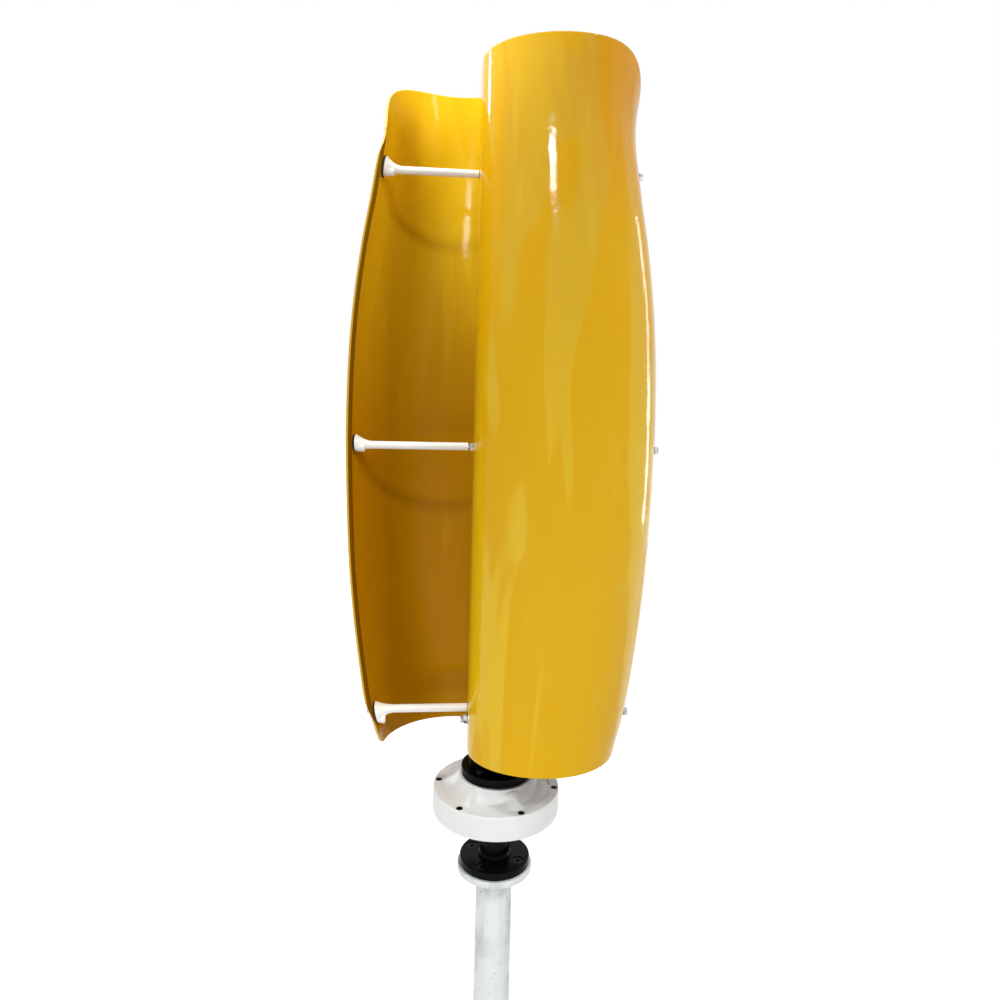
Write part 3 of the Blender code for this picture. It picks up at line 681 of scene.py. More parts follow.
# ---- blade surface ------------------------------------------------------------------------
def through(stations, heights):
    """Smooth curve through the stations (cubic Hermite with averaged slopes)."""
    zs, vs = np.array(stations).T
    slope = np.gradient(vs, zs)
    z = np.clip(heights, zs[0], zs[-1])
    k = np.clip(np.searchsorted(zs, z, side="right") - 1, 0, len(zs) - 2)
    h = zs[k + 1] - zs[k]
    t = (z - zs[k]) / h
    return ((2 * t ** 3 - 3 * t ** 2 + 1) * vs[k] + (t ** 3 - 2 * t ** 2 + t) * h * slope[k]
            + (3 * t ** 2 - 2 * t ** 3) * vs[k + 1] + (t ** 3 - t ** 2) * h * slope[k + 1])


def inner_wall_x(y, z):
    """X of the bowed wall's inward face at (y, z)."""
    edge, depth = through(EDGE_STATIONS, z) - LIP, through(DEPTH_STATIONS, z)
    wall = bpy.context.scene.turbine_blades.wall
    half = (edge + INNER_X) / 2 - wall
    return (edge - INNER_X) / 2 + half * np.sqrt(np.clip(1 - (y / (depth - wall)) ** 2, 0, 1))


def cut_height(angle, top):
    """Height of the trimmed end at a section angle; its outer corner is rounded off."""
    z = BLADE_Z[1] if top else BLADE_Z[0]
    height, length = TOP_CORNER if top else BOTTOM_CORNER
    away = through(DEPTH_STATIONS, z) * (math.pi - angle)
    k = np.clip(1 - away / length, 0, 1)
    if top:
        return z - height * k ** TOP_POWER
    return z + height * (1 - np.sqrt(1 - k * k))


def store(mesh, label, kind, domain, values):
    """Writes one value for each point or face as a named attribute."""
    layer = mesh.attributes.new(label, kind, domain)
    layer.data.foreach_set("value", values.astype(np.int32 if kind == "INT" else np.float32))


def fetch(mesh, label, kind=np.int32):
    layer = mesh.attributes[label]
    values = np.zeros(len(layer.data), dtype=kind)
    layer.data.foreach_get("value", values)
    return values


def shell_mesh(name, columns, rows):
    """Closed flat shell of two grids joined round their rims; attribute side is 2 on the rims."""
    grid = np.arange(2 * columns * rows).reshape(2, columns, rows)
    faces, sides = [], []

    def add(a, b, c, d, side):
        quads = np.stack((a, b, c, d), axis=-1).reshape(-1, 4)
        faces.append(quads)
        sides.append(np.full(len(quads), side))

    for side, g in enumerate(grid):
        add(g[:-1, :-1], g[1:, :-1], g[1:, 1:], g[:-1, 1:], side)
    low, high = grid
    for j in (0, -1):
        add(low[:-1, j], low[1:, j], high[1:, j], high[:-1, j], 2)
    for i in (0, -1):
        add(low[i, :-1], low[i, 1:], high[i, 1:], high[i, :-1], 2)
    mesh = bpy.data.meshes.new(name)
    points = np.stack(np.unravel_index(np.arange(grid.size), grid.shape), axis=-1) * 0.001
    mesh.from_pydata(points[:, [1, 2, 0]].tolist(), [], np.concatenate(faces).tolist())
    store(mesh, "side", "INT", "FACE", np.concatenate(sides))
    return mesh


def blade_grid(name, columns, rows):
    """Flat shell whose attributes say where each point lies on the blade's section and height."""
    wall_steps, lip_steps = max(3, columns // 14), max(4, columns // 10)
    zone = np.concatenate((np.zeros(wall_steps), np.ones(columns + 1), np.full(lip_steps, 2)))
    arc = np.linspace(0, math.pi, columns + 1)
    curl = np.arange(1, lip_steps + 1) / lip_steps
    share = np.concatenate((np.arange(wall_steps) / wall_steps, arc, curl))
    angle = np.concatenate((np.zeros(wall_steps), arc, np.full(lip_steps, math.pi)))

    v = np.linspace(0, 1, rows + 1)
    v = 0.45 * v + 0.55 * (0.5 - 0.5 * np.cos(math.pi * v))
    low, high = cut_height(angle, False), cut_height(angle, True)
    height = low[:, None] + v[None, :] * (high - low)[:, None]
    fade = np.clip(np.minimum(v, 1 - v) / 0.06, 0, 1)
    fade = fade * fade * (3 - 2 * fade)
    shares = np.repeat(share[:, None], rows + 1, axis=1)
    on_lip = zone == 2
    shares[on_lip] = share[on_lip][:, None] * np.radians(CURL[0] + (CURL[1] - CURL[0]) * fade)[None, :]

    mesh = shell_mesh(name, len(zone), rows + 1)
    zones = np.repeat(zone[:, None], rows + 1, axis=1)
    store(mesh, "zone", "INT", "POINT", np.tile(zones.ravel(), 2))
    fields = {"share": shares, "height": height, "edge": through(EDGE_STATIONS, height),
              "depth": through(DEPTH_STATIONS, height)}
    for label, values in fields.items():
        store(mesh, label, "FLOAT", "POINT", np.tile(values.ravel(), 2))
    store(mesh, "inset", "FLOAT", "POINT", np.repeat((0.0, 1.0), height.size))
    return link_object(name, mesh)


def finish_blade(obj, trim, materials):
    """Gives each side its finish, faces the shell outward and rounds its trimmed edges."""
    mesh = obj.data
    paint(obj, *materials)
    mesh.polygons.foreach_set("material_index", fetch(mesh, "side"))
    curl = fetch(mesh, "share", np.float32) / math.radians(CURL[1])
    store(mesh, "lip", "FLOAT", "POINT", np.where(fetch(mesh, "zone") == 2, curl, 0.0))
    for label in ("side", "zone", "share", "height", "edge", "depth", "inset"):
        mesh.attributes.remove(mesh.attributes[label])
    bm = bmesh.new()
    bm.from_mesh(mesh)
    bmesh.ops.recalc_face_normals(bm, faces=bm.faces)
    bm.to_mesh(mesh)
    bm.free()
    edge = obj.modifiers.new("trim", "BEVEL")
    edge.width = trim
    edge.segments = 2
    edge.limit_method = "ANGLE"
    edge.angle_limit = math.radians(50)
    bake(obj)
    smooth(obj, 60)


class TURBINE_OT_blades(bpy.types.Operator):
    """Make the two glossy S-section blades"""
    bl_idname = "turbine.blades"
    bl_label = "Blades"

    def execute(self, context):
        given = context.scene.turbine_blades
        # Outside: painted shade at the lip's root, a pale outer edge and the reach of the painted darker
        # top end; its painted reflections have the strength 0.60.
        lip_shade, rim, reach = (0.46, 0.15, 0.006), (0.80, 0.55, 0.16), 0.75
        outside = kept("Gelcoat_outside", gelcoat, given.top, given.gelcoat, reach, lip_shade, rim,
                       given.wave, 0.07, 0.25, 0.60)
        # Inside: painted shade at the lip's root, a pale outer edge and the reach of the bright top above
        # the painted shade lower down.
        lip_shade, rim, reach = (0.12, 0.04, 0.001), (0.60, 0.36, 0.04), 0.58
        inside = kept("Gelcoat_inside", gelcoat, given.inside, given.inside_shade, reach, lip_shade, rim,
                      given.wave * 0.5, 0.10, 0.055, 0.12)
        cut = kept("Laminate_edge", laminate_edge, (0.78, 0.56, 0.16))
        first = blade_grid("blade_shell_a", given.columns, given.rows)
        grow(first, shared_tree("Blade shell", build_blade_tree), thickness=given.wall, material=outside)
        finish_blade(first, given.trim, (outside, inside, cut))
        second = link_object("blade_shell_b", first.data.copy())
        second.data.transform(HALF_TURN)
        place(first, "rotor", "yellow_gelcoat", "blade_a")
        place(second, "rotor", "yellow_gelcoat", "blade_b")
        return {"FINISHED"}


# ---- tie rods and their hardware ----------------------------------------------------------
def wall_rings(bm, loops, y0, z0, segments):
    """Closed solid about an X axis at (y0, z0) from (radius, offset, follow, lift) rings.

    Offsets are from the bowed wall at the rod's axis; follow 1 bends a ring to the wall."""
    base = float(inner_wall_x(ROD_Y, z0))
    turns = np.arange(segments) * math.tau / segments
    rings = []
    for r, offset, follow, lift in loops:
        ys, zs = y0 + r * np.cos(turns), z0 + lift + r * np.sin(turns)
        xs = base + offset + follow * (inner_wall_x(np.minimum(ys, 0.0), zs) - base)
        if r == 0.0:
            ys, zs, xs = ys[:1], zs[:1], xs[:1]
        rings.append([bm.verts.new(point) for point in zip(xs, ys, zs)])
    bridge(bm, rings, segments)


def rod_loops(inner_end, bore_end, foot, lift):
    """Rings of one rod: plain shaft, trumpet flare and a foot face that follows the blade wall."""
    shaft, bore, pocket = 0.0053, 0.0033, -0.0185
    loops = [(0.0, bore_end, 0, 0), (bore, bore_end, 0, 0), (bore, inner_end + 0.0004, 0, 0),
             (bore + 0.0004, inner_end, 0, 0), (shaft - 0.0005, inner_end, 0, 0),
             (shaft, inner_end + 0.0005, 0, 0)]
    span = FOOT_LENGTH + FOOT_FACE - 0.0022
    for s in np.linspace(0.0, 1.0, 20):
        flare = s ** 2.2
        radius = shaft + (foot - 0.0006 - shaft) * flare
        loops.append((radius, span * s - FOOT_LENGTH, min(1.0, s / 0.75) ** 2, lift * flare))
    for inset, back in ((0.0001, 0.0012), (0.0, 0.0006), (0.0002, 0.0002), (0.0007, 0.0)):
        loops.append((foot - inset, FOOT_FACE - back, 1, lift))
    return loops + [(bore, FOOT_FACE, 1, 0), (bore, pocket, 0, 0), (0.0, pocket, 0, 0)]


def boss_loops(foot, lift, radius, length):
    """Half round boss along the foot's lower side, ending in a flat step."""
    radius = max(radius, 0.42 * (foot - lift))
    drop = lift - foot + radius
    outline = ((0.0, -length, 0), (radius - 0.0006, -length, 0), (radius, 0.0006 - length, 0),
               (radius, FOOT_FACE - 0.0035, 1), (radius - 0.001, FOOT_FACE - 0.0015, 1),
               (0.0, FOOT_FACE - 0.0015, 1))
    return [(*point, drop) for point in outline]


def hex_prism(bm, centre, across, x0, x1):
    """Adds a hexagon standing along X from x0 to x1, chamfered at x1."""
    corner = across / 2 / math.cos(math.radians(30))
    slope = math.copysign(0.0007, x1 - x0)
    profile = [(0.0, x0), (corner, x0), (corner, x1 - slope), (corner * 0.9, x1), (0.0, x1)]
    lathe(bm, profile, 6, centre, "X")


def threaded(radius, x0, x1, pitch=0.0010):
    """Outline of a threaded shank between x0 and x1: one ridge each pitch."""
    root = radius - 0.0004
    count = max(1, int(abs(x1 - x0) / pitch))
    step = (x1 - x0) / count
    points = [(0.0, x0), (root, x0)]
    for k in range(count):
        points += [(radius, x0 + step * (k + 0.35)), (radius, x0 + step * (k + 0.6)),
                   (root, x0 + step * (k + 1))]
    return points + [(0.0, x1)]


def pair(kind, index):
    """Names of the two like nodes, one on each blade."""
    return ["%s_%s%s" % (kind, side, index) for side in "ab"]


def both_sides(obj, slot, material, *nodes):
    """Adds the half-turn twin, then puts the pair on the rotor."""
    ring_copies(obj, 2, material)
    place(obj, "rotor", slot, *nodes)


class TURBINE_OT_rods(bpy.types.Operator):
    """Make the white tie rods, and the black rubber pads under their feet that also stand in for the shade
    round each foot
    """
    bl_idname = "turbine.rods"
    bl_label = "Tie rods"

    def execute(self, context):
        given = context.scene.turbine_rods
        white = kept("Rod_plastic", moulded_plastic, given.colour)
        black = kept("Pad_rubber", rubber)
        for index, (foot, lift) in enumerate(zip(FOOT_R, FOOT_LIFT), start=1):
            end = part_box("tie_rod_a%d" % index)[0].x
            bore_end = end + STUD_DEPTH
            if index != NUT_ROD:
                end = INNER_X + GAP
            z0 = middle("rod_bolt_a%d" % index).z
            wall = float(inner_wall_x(ROD_Y, z0))
            loops = rod_loops(end - wall, bore_end - wall, foot, lift)
            rod = link_mesh("tie_rods_%d" % index, shape(wall_rings, loops, ROD_Y, z0, given.segments))
            loops = boss_loops(foot, lift, given.boss_radius, given.boss_length)
            carve(rod, shape(wall_rings, loops, ROD_Y + BOSS_SHIFT, z0, 36), "UNION")
            both_sides(rod, "white_rod", white, *pair("tie_rod", index))

            # Black pad under the foot: a rubber ring whose dark colour also stands in for the shade round
            # the foot.
            rim = foot + (PAD_MARGIN if index == 3 else -0.0005)
            near, far, hole, trim = -PAD_GAP, -PAD_GAP - PAD_T, 0.0034, 0.0004
            loops = [(hole, near, 1, 0), (rim - trim, near, 1, lift), (rim, near - trim, 1, lift),
                     (rim, far + trim, 1, lift), (rim - trim, far, 1, lift), (hole, far, 1, 0)]
            pad = link_mesh("rod_pads_%d" % index, shape(wall_rings, loops, ROD_Y, z0, given.segments))
            both_sides(pad, "rubber_pad", black, *pair("rod_pad", index))
        return {"FINISHED"}


class TURBINE_OT_fasteners(bpy.types.Operator):
    """Make the stainless bolts, nuts and studs of the rods and the post"""
    bl_idname = "turbine.fasteners"
    bl_label = "Rod fasteners"

    def execute(self, context):
        steel = kept("Stainless", bare_metal, (0.52, 0.52, 0.52), 0.20)
        for index in (1, 2, 3):
            low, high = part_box("rod_bolt_a%d" % index)
            centre = (ROD_Y, middle("rod_bolt_a%d" % index).z)
            seat = high.x - 0.0042
            shank = [(0.0, low.x), (0.003, low.x), (0.003, seat - 0.0014)]
            collar = [(0.0052, seat - 0.0014), (0.0056, seat - 0.0010), (0.0056, seat - 0.0003),
                      (0.0053, seat), (0.0, seat)]
            bm = shape(lathe, shank + collar, 32, centre, "X")
            hex_prism(bm, centre, 0.0096, seat, high.x - 0.0003)
            lathe(bm, threaded(0.0028, seat, high.x), 32, centre, "X")
            bolt = link_mesh("rod_bolts_%d" % index, bm)
            both_sides(bolt, "bolt_steel", steel, *pair("rod_bolt", index))

            low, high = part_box("tie_stud_a%d" % index)
            nut = INNER_X + GAP
            bm = shape(lathe, threaded(0.003, low.x, high.x), 32, centre, "X")
            if index == NUT_ROD:
                hex_prism(bm, centre, 0.0100, nut, nut + 0.0042)
            stud = link_mesh("tie_studs_%d" % index, bm)
            both_sides(stud, "bolt_steel", steel, *pair("tie_stud", index))

        low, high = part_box("post_bolt_a")
        centre = (middle("post_bolt_a").y, middle("post_bolt_a").z)
        base = -INNER_X - GAP
        nut, end = base - 0.0012, base - 0.0056
        washer = [(0.0, base), (0.0064, base), (0.0068, base - 0.0003), (0.0068, base - 0.0009),
                  (0.0064, nut), (0.0, nut)]
        tip = [(0.0, end), (0.0042, end), (0.0045, end - 0.0006), (0.0045, low.x + 0.0006),
               (0.0040, low.x), (0.0, low.x)]
        bm = shape(lathe, threaded(0.003, high.x, base - 0.0070), 32, centre, "X")
        lathe(bm, washer, 32, centre, "X")
        hex_prism(bm, centre, 0.0100, nut, end)
        lathe(bm, tip, 32, centre, "X")
        both_sides(link_mesh("post_bolts", bm), "bolt_steel", steel, *pair("post_bolt", ""))
        return {"FINISHED"}


# ---- hub ----------------------------------------------------------------------------------
def rounded_rect(hx, hy, r, steps=6):
    points = []
    for cx, cy, start in ((hx - r, hy - r, 0), (r - hx, hy - r, 90), (r - hx, r - hy, 180),
                          (hx - r, r - hy, 270)):
        for k in range(steps + 1):
            a = math.radians(start + 90.0 * k / steps)
            points.append((cx + r * math.cos(a), cy + r * math.sin(a)))
    return points


def prism_rings(bm, levels):
    """Adds a closed solid through outlines given as (height, points)."""
    rings = [[bm.verts.new((x, y, z)) for x, y in points] for z, points in levels]
    for low, high in zip(rings, rings[1:]):
        for k in range(len(low)):
            n = (k + 1) % len(low)
            bm.faces.new((low[k], low[n], high[n], high[k]))
    bm.faces.new(list(reversed(rings[0])))
    bm.faces.new(rings[-1])


def socket_screw(name, pitch, profile, radii, socket, floor):
    """Upright screw on the X axis at the pitch radius, with a hexagon socket down to the floor."""
    screw = link_mesh(name, shape(lathe, rounded(profile, radii, 3), 32, (pitch, 0.0)))
    points = [(pitch + u, v) for u, v in ring_spots(socket, 6)]
    carve(screw, shape(prism_rings, ((floor, points), (profile[-1][1] + 0.002, points))))
    return screw


def cap_screw(name, pitch, low, high, head_r, head_h, socket, depth):
    """Socket screw with a straight head."""
    seat, shank = high - head_h, head_r * 0.6
    profile = [(0.0, low), (shank, low), (shank, seat), (head_r, seat), (head_r, high), (0.0, high)]
    return socket_screw(name, pitch, profile, (0, 0, 0, 0.0003, 0.0006, 0), socket, high - depth)


class TURBINE_OT_hub(bpy.types.Operator):
    """Make the black hub disc, its screws and the post inside the blades"""
    bl_idname = "turbine.hub"
    bl_label = "Hub and post"

    def execute(self, context):
        black, oxide = gloss_black(), black_oxide()
        hub = turned("hub", band(0.0, HUB_HIGH.x, HUB_LOW.z, HUB_HIGH.z), (0, 0.0010, 0.0012, 0))
        outline = rounded_rect(POST_HIGH.x + GAP, POST_HIGH.y + GAP, 0.0033)
        carve(hub, shape(prism_rings, ((POST_LOW.z - GAP, outline), (HUB_HIGH.z + 0.01, outline))))
        paint(hub, black)
        place(hub, "rotor", "black_gloss", "hub_disc")

        wall, z0, z1 = 0.0025, POST_LOW.z, POST_HIGH.z
        outside = rounded_rect(POST_HIGH.x, POST_HIGH.y, 0.0030)
        bore = rounded_rect(POST_HIGH.x - wall, POST_HIGH.y - wall, 0.0010)
        post = link_mesh("post", shape(prism_rings, ((z0, outside), (z1, outside))))
        carve(post, shape(prism_rings, ((z0 - 0.01, bore), (z1 + 0.01, bore))))
        paint(post, black)
        place(post, "rotor", "black_gloss", "center_post")

        spot = middle("hub_screw_1")
        low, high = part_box("hub_screw_1")
        pitch, phase = math.hypot(spot.x, spot.y), math.atan2(spot.y, spot.x)
        for index, start in enumerate((phase, -phase), start=1):
            name = "hub_screws_%d" % index
            screws = cap_screw(name, pitch, low.z, high.z, 0.0050, 0.0060, 0.0029, 0.0030)
            ring_copies(screws, 2, oxide, start)
            place(screws, "rotor", "black_oxide", "hub_screw_%d" % index, "hub_screw_%d" % (index + 2))
        return {"FINISHED"}


# ---- generator ----------------------------------------------------------------------------
def divided(profile, step, low, high):
    """Profile with its segments between radii low and high split to at most the step."""
    points = []
    for p, q in zip(profile, profile[1:] + profile[:1]):
        points.append(p)
        if low <= min(p[0], q[0]) and max(p[0], q[0]) <= high:
            count = max(1, math.ceil(math.dist(p, q) / step))
            points += [tuple(Vector(p).lerp(Vector(q), k / count)) for k in range(1, count)]
    return points


class TURBINE_OT_generator(bpy.types.Operator):
    """Make the white generator casing, its ribbed cover and the cover screws"""
    bl_idname = "turbine.generator"
    bl_label = "Generator"

    def execute(self, context):
        given = context.scene.turbine_generator
        white = kept("White_powder", powder_coat, given.coat, 0.34)
        r, bottom, split = CASE_HIGH.x, CASE_LOW.z, CASE_HIGH.z + GAP * 0.9
        bore, wide, seat = 0.0165, 0.0745, bottom + 0.0040
        profile = [(bore, bottom), (r, bottom), (r, split), (wide, split), (wide, seat), (bore, seat)]
        body = turned("casing_shell", profile, (0.0004, 0.0030, 0, 0, 0.002, 0), 160)
        paint(body, white)
        place(body, "rotor", "white_coat", "casing_body")

        top, boss_top, under = CASE_HIGH.z + 0.0049, COVER_HIGH.z, CASE_HIGH.z + GAP
        floor = top - 0.0021
        profile = [(0.0, boss_top), (BOSS_R, boss_top), (BOSS_R + 0.0005, floor + 0.0095), (0.0565, floor),
                   (RING_R, floor), (RING_R + 0.001, top), (r, top), (r, under), (0.0, under)]
        radii = (0, 0.0010, 0.0030, 0.0035, 0.0012, 0.0006, 0.0013, 0, 0)
        profile = divided(rounded(profile, radii), 0.0010, BOSS_R - 0.001, RING_R + 0.002)
        cover = link_mesh("cover_shell", shape(lathe, profile, 600))
        phase = math.radians(COVER_SCREW_PHASE)
        grow(cover, shared_tree("Cover ribs", build_cover_tree), count=given.ribs, phase=phase,
             floor=floor, boss_top=boss_top, ring_top=top, crest_top=boss_top - 0.0028,
             flank=given.flank, ramp=given.ramp, material=white)
        spots = ring_spots(COVER_SCREW_R, given.ribs, COVER_SCREW_PHASE)
        carve(cover, shape(lathe_all, band(0.0, 0.0047, top - 0.0029, top + 0.004), spots))
        smooth(cover, 28)
        paint(cover, white)
        place(cover, "rotor", "white_coat", "casing_cover")

        low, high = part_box("cover_screw_1")
        screws = cap_screw("cover_screws", COVER_SCREW_R, low.z, high.z, 0.0043, 0.0030, 0.0023, 0.0018)
        ring_copies(screws, given.ribs, black_oxide(), phase)
        place(screws, "rotor", "black_oxide", *("cover_screw_%d" % k for k in range(1, 7)))
        return {"FINISHED"}


# ---- mast, flanges and shaft --------------------------------------------------------------
class TURBINE_OT_mast(bpy.types.Operator):
    """Make the mast stub, both flanges, the fixed shaft and the flange screws"""
    bl_idname = "turbine.mast"
    bl_label = "Mast and shaft"

    def execute(self, context):
        given = context.scene.turbine_mast
        pale, black = kept("Mast_coat", mast_finish, given.coat, given.stain), gloss_black()
        r, wall, top = MAST_HIGH.x, 0.0030, MAST_HIGH.z
        tube = turned("mast", band(r - wall, r, 0.0, top), (0.0004, 0.0006, 0.0003, 0.0003), 96)
        paint(tube, pale)
        place(tube, "mast", "mast_coat", "mast_tube")

        rim, z0, z1 = COLLAR_HIGH.x, COLLAR_LOW.z, COLLAR_HIGH.z
        collar = turned("mast_collar", band(r - wall, rim, z0, z1), (0.0004, 0.0016, 0.0012, 0.0004))
        spots = ring_spots(FLANGE_PITCH_R, 4, FLANGE_PHASE)
        hole = FLANGE_HOLE_R
        carve(collar, shape(lathe_all, band(0.0, hole, z0 - 0.004, z1 + 0.004), spots))
        paint(collar, pale)
        place(collar, "mast", "mast_coat", "mast_flange")

        rim, z0, z1 = PLATE_HIGH.x, PLATE_LOW.z, PLATE_HIGH.z
        bore, sink = 0.0060, 0.0082
        plate = turned("shaft_plate", band(bore, rim, z0, z1), (0.0003, 0.0008, 0.0010, 0.0003))
        sunk_hole = [(0.0, z0 - 0.004), (hole, z0 - 0.004), (hole, z1 - 0.0044), (sink, z1 - 0.0006),
                     (sink, z1 + 0.004), (0.0, z1 + 0.004)]
        carve(plate, shape(lathe_all, sunk_hole, spots))
        paint(plate, black)
        place(plate, "mast", "black_gloss", "shaft_flange")

        foot, shoulder, top = SHAFT_LOW.z, 0.2885, SHAFT_HIGH.z
        base, neck, step, axle = 0.0222, 0.0200, 0.0118, 0.0100
        profile = [(bore, foot), (base, foot), (base, foot + 0.0024), (neck, foot + 0.0044),
                   (neck, shoulder), (step, shoulder), (step, shoulder + 0.0025),
                   (axle, shoulder + 0.0025), (axle, top), (bore, top)]
        radii = (0, 0.0006, 0.0010, 0.0016, 0.0008, 0, 0, 0, 0.0004, 0)
        shaft = turned("shaft", profile, radii, 96)
        paint(shaft, black)
        place(shaft, "mast", "black_gloss", "stator_shaft")

        low, high = (corner.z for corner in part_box("flange_screw_1"))
        shank, head = 0.0040, 0.0075
        profile = [(0.0, low), (shank, low), (shank, high - 0.0037), (head, high - 0.0003), (head, high),
                   (0.0, high)]
        screws = socket_screw("flange_screws", FLANGE_PITCH_R, profile, (0, 0, 0, 0, 0.0002, 0), 0.0029,
                              high - 0.0028)
        ring_copies(screws, 4, black_oxide(), math.radians(FLANGE_PHASE))
        place(screws, "mast", "black_oxide", *("flange_screw_%d" % k for k in range(1, 5)))
        return {"FINISHED"}


class TURBINE_OT_inner_parts(bpy.types.Operator):
    """Give the hidden generator parts their metals"""
    bl_idname = "turbine.inner_parts"
    bl_label = "Inner parts"

    def execute(self, context):
        core = kept("Core_steel", bare_metal, (0.25, 0.25, 0.27), 0.45)
        copper = kept("Copper", bare_metal, (0.72, 0.33, 0.15), 0.30)
        ground = kept("Bearing_steel", bare_metal, (0.70, 0.70, 0.72), 0.20)
        finishes = {"stator_core": core, "magnet_ring": core, "stator_coils": copper}
        for ring in ("inner", "outer"):
            for level in ("lower", "upper"):
                finishes["bearing_%s_%s" % (ring, level)] = ground
        for node, material in finishes.items():
            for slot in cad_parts[node].material_slots:
                slot.material = material
        return {"FINISHED"}


# ---- stage --------------------------------------------------------------------------------
SOFT_LAMPS = (
    ("Key", "key_power", (2.10, -1.60, 2.10), (0.0, 0.0, 0.85), (1.0, 1.0)),
    ("Front", "front_power", (-0.15, -2.2, 3.1), (0.0, 0.0, 0.9), (0.30, 0.30)),
    ("Top", "top_power", (-0.34, -0.13, 1.70), (-0.10, 0.06, 1.15), (0.14, 0.14)),
    ("Fill", "fill_power", (-1.1, -1.3, 0.30), (0.0, 0.0, 0.22), (0.5, 0.5)),
)
GLINT_LAMPS = (
    ("Strip", 6.0, (-0.64, -2.50, 1.91), (0.05, -0.10, 1.13), (0.30, 0.30)),
    ("Edge", 2.6, (2.00, 0.75, 1.05), (0.18, -0.02, 0.85), (0.26, 1.50)),
    ("Spot", 1.5, (-1.65, 1.12, 2.17), (-0.03, -0.06, 1.25), (0.12, 0.30)),
    ("Rim", 0.35, (0.55, -0.75, 1.83), (-0.107, 0.098, 1.292), (0.05, 0.10)),
)


def area_light(name, power, place_at, aim, size):
    data = bpy.data.lights.new(name, "AREA")
    data.shape = "RECTANGLE"
    data.size, data.size_y = size
    data.energy = power
    lamp = link_object(name, data)
    lamp.location = place_at
    lamp.rotation_euler = (Vector(aim) - Vector(place_at)).to_track_quat("-Z", "Y").to_euler()
    return lamp


def studio_lamps(given):
    """Soft lamps that light the surfaces, and narrow ones seen only as reflections in the gloss."""
    for name, setting, *aimed in SOFT_LAMPS:
        lamp = area_light(name, getattr(given, setting), *aimed)
        lamp.visible_glossy = False
        if name == "Fill":
            lamp.data.spread = math.radians(70)
    for name, share, *aimed in GLINT_LAMPS:
        area_light(name, given.glint_power * share, *aimed).visible_diffuse = False


def seen_directly(graph):
    """1 for camera, glossy and transmission rays, which see the plain white background."""
    path = graph.node("ShaderNodeLightPath").outputs
    share = graph.math("MAXIMUM", path["Is Camera Ray"], path["Is Glossy Ray"])
    return graph.math("MAXIMUM", share, path["Is Transmission Ray"])


def white_world(ambient):
    world = bpy.data.worlds.new("Studio")
    bpy.context.scene.world = world
    world.use_nodes = True
    graph = Graph(world.node_tree)
    background = world.node_tree.nodes["Background"].inputs
    background["Color"].default_value = WHITE
    graph.feed(background["Strength"], spread(graph, seen_directly(graph), 0.0, 1.0, ambient, 1.0))


def floor_material():
    """White floor whose own light brings it to plain white, less near the foot to keep the shadow."""
    coat = Coat("Floor", (0.80, 0.80, 0.80), 0.9, specular=0.0)
    grain = coat.patches(0.3, 0.7, 0.0, 1.0, 2.0, 2.0)
    coat.set("Base Color", coat.mix(grain, (0.80, 0.80, 0.80), (0.79, 0.79, 0.79)))
    away = coat.node("ShaderNodeVectorMath", (coat.where(),), operation="LENGTH").outputs["Value"]
    own = ease(coat, away, 0.4, 2.5, 0.60, 1.0)
    coat.set("Emission Color", WHITE)
    coat.set("Emission Strength", coat.times(seen_directly(coat), own))
    return coat.material


def stage_camera(given):
    """Level camera with a small shift and roll, turned a little round the rotor axis."""
    data = bpy.data.cameras.new("Camera")
    data.sensor_width, data.lens = 36.0, 26.1
    data.shift_x, data.shift_y = -0.0071, -0.0897
    camera = link_object("Camera", data)
    way = Vector((math.sin(given.turn), math.cos(given.turn), 0.0))
    side = Vector((way.y, -way.x, 0.0))
    camera.location = -way * given.distance + side * 0.0035 + Vector((0, 0, given.height))
    roll = Matrix.Rotation(math.radians(1.31), 4, "Z")
    level = Matrix.Rotation(-given.turn, 4, "Z") @ Matrix.Rotation(math.pi / 2, 4, "X")
    camera.rotation_euler = (level @ roll).to_euler()
    bpy.context.scene.camera = camera


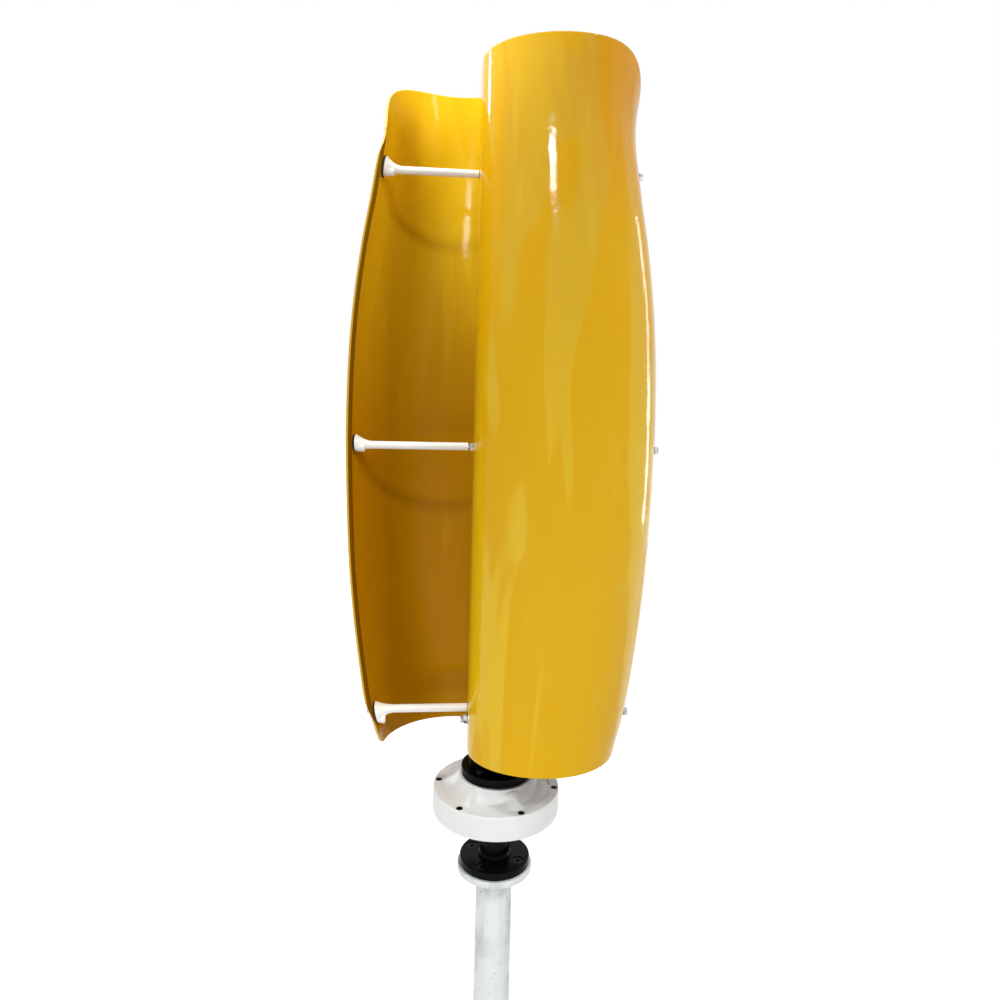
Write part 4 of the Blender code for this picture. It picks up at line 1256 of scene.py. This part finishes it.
class TURBINE_OT_stage(bpy.types.Operator):
    """Make the floor, the studio lights and the camera"""
    bl_idname = "turbine.stage"
    bl_label = "Stage"

    def execute(self, context):
        given = context.scene.turbine_stage
        bm = bmesh.new()
        bmesh.ops.create_circle(bm, cap_ends=True, segments=96, radius=14.0)
        floor = link_mesh("stage_floor", bm)
        floor.data.transform(Matrix.Translation((0, 0, -0.0005)))
        if floor.data.polygons[0].normal.z < 0:
            floor.data.flip_normals()
        paint(floor, floor_material())
        studio_lamps(given)
        white_world(given.ambient)
        stage_camera(given)
        context.scene.view_settings.view_transform = "Standard"
        return {"FINISHED"}


# ---- panel and registration ---------------------------------------------------------------
STEPS = (
    (TURBINE_OT_blades, "turbine_blades"),
    (TURBINE_OT_rods, "turbine_rods"),
    (TURBINE_OT_fasteners, None),
    (TURBINE_OT_hub, None),
    (TURBINE_OT_generator, "turbine_generator"),
    (TURBINE_OT_mast, "turbine_mast"),
    (TURBINE_OT_inner_parts, None),
    (TURBINE_OT_stage, "turbine_stage"),
)
SETTINGS = {
    "turbine_blades": BladeSettings,
    "turbine_rods": RodSettings,
    "turbine_generator": GeneratorSettings,
    "turbine_mast": MastSettings,
    "turbine_stage": StageSettings,
}


class TURBINE_PT_panel(bpy.types.Panel):
    """Sidebar panel with each step's sizes and colours"""
    bl_label = "Vertical axis turbine"
    bl_space_type = "VIEW_3D"
    bl_region_type = "UI"
    bl_category = "Turbine"

    def draw(self, context):
        for step, settings in STEPS:
            box = self.layout.box()
            box.operator(step.bl_idname)
            if settings:
                group = getattr(context.scene, settings)
                for field in group.bl_rna.properties:
                    if field.identifier not in {"rna_type", "name"}:
                        box.prop(group, field.identifier)


def register():
    for name, group in SETTINGS.items():
        bpy.utils.register_class(group)
        setattr(bpy.types.Scene, name, PointerProperty(type=group))
    for step, _ in STEPS:
        bpy.utils.register_class(step)
    bpy.utils.register_class(TURBINE_PT_panel)


def unregister():
    bpy.utils.unregister_class(TURBINE_PT_panel)
    for step, _ in reversed(STEPS):
        bpy.utils.unregister_class(step)
    for name, group in SETTINGS.items():
        delattr(bpy.types.Scene, name)
        bpy.utils.unregister_class(group)


def main():
    register()
    for step, _ in STEPS:
        area, call = step.bl_idname.split(".")
        getattr(getattr(bpy.ops, area), call)()


if __name__ == "__main__":
    main()
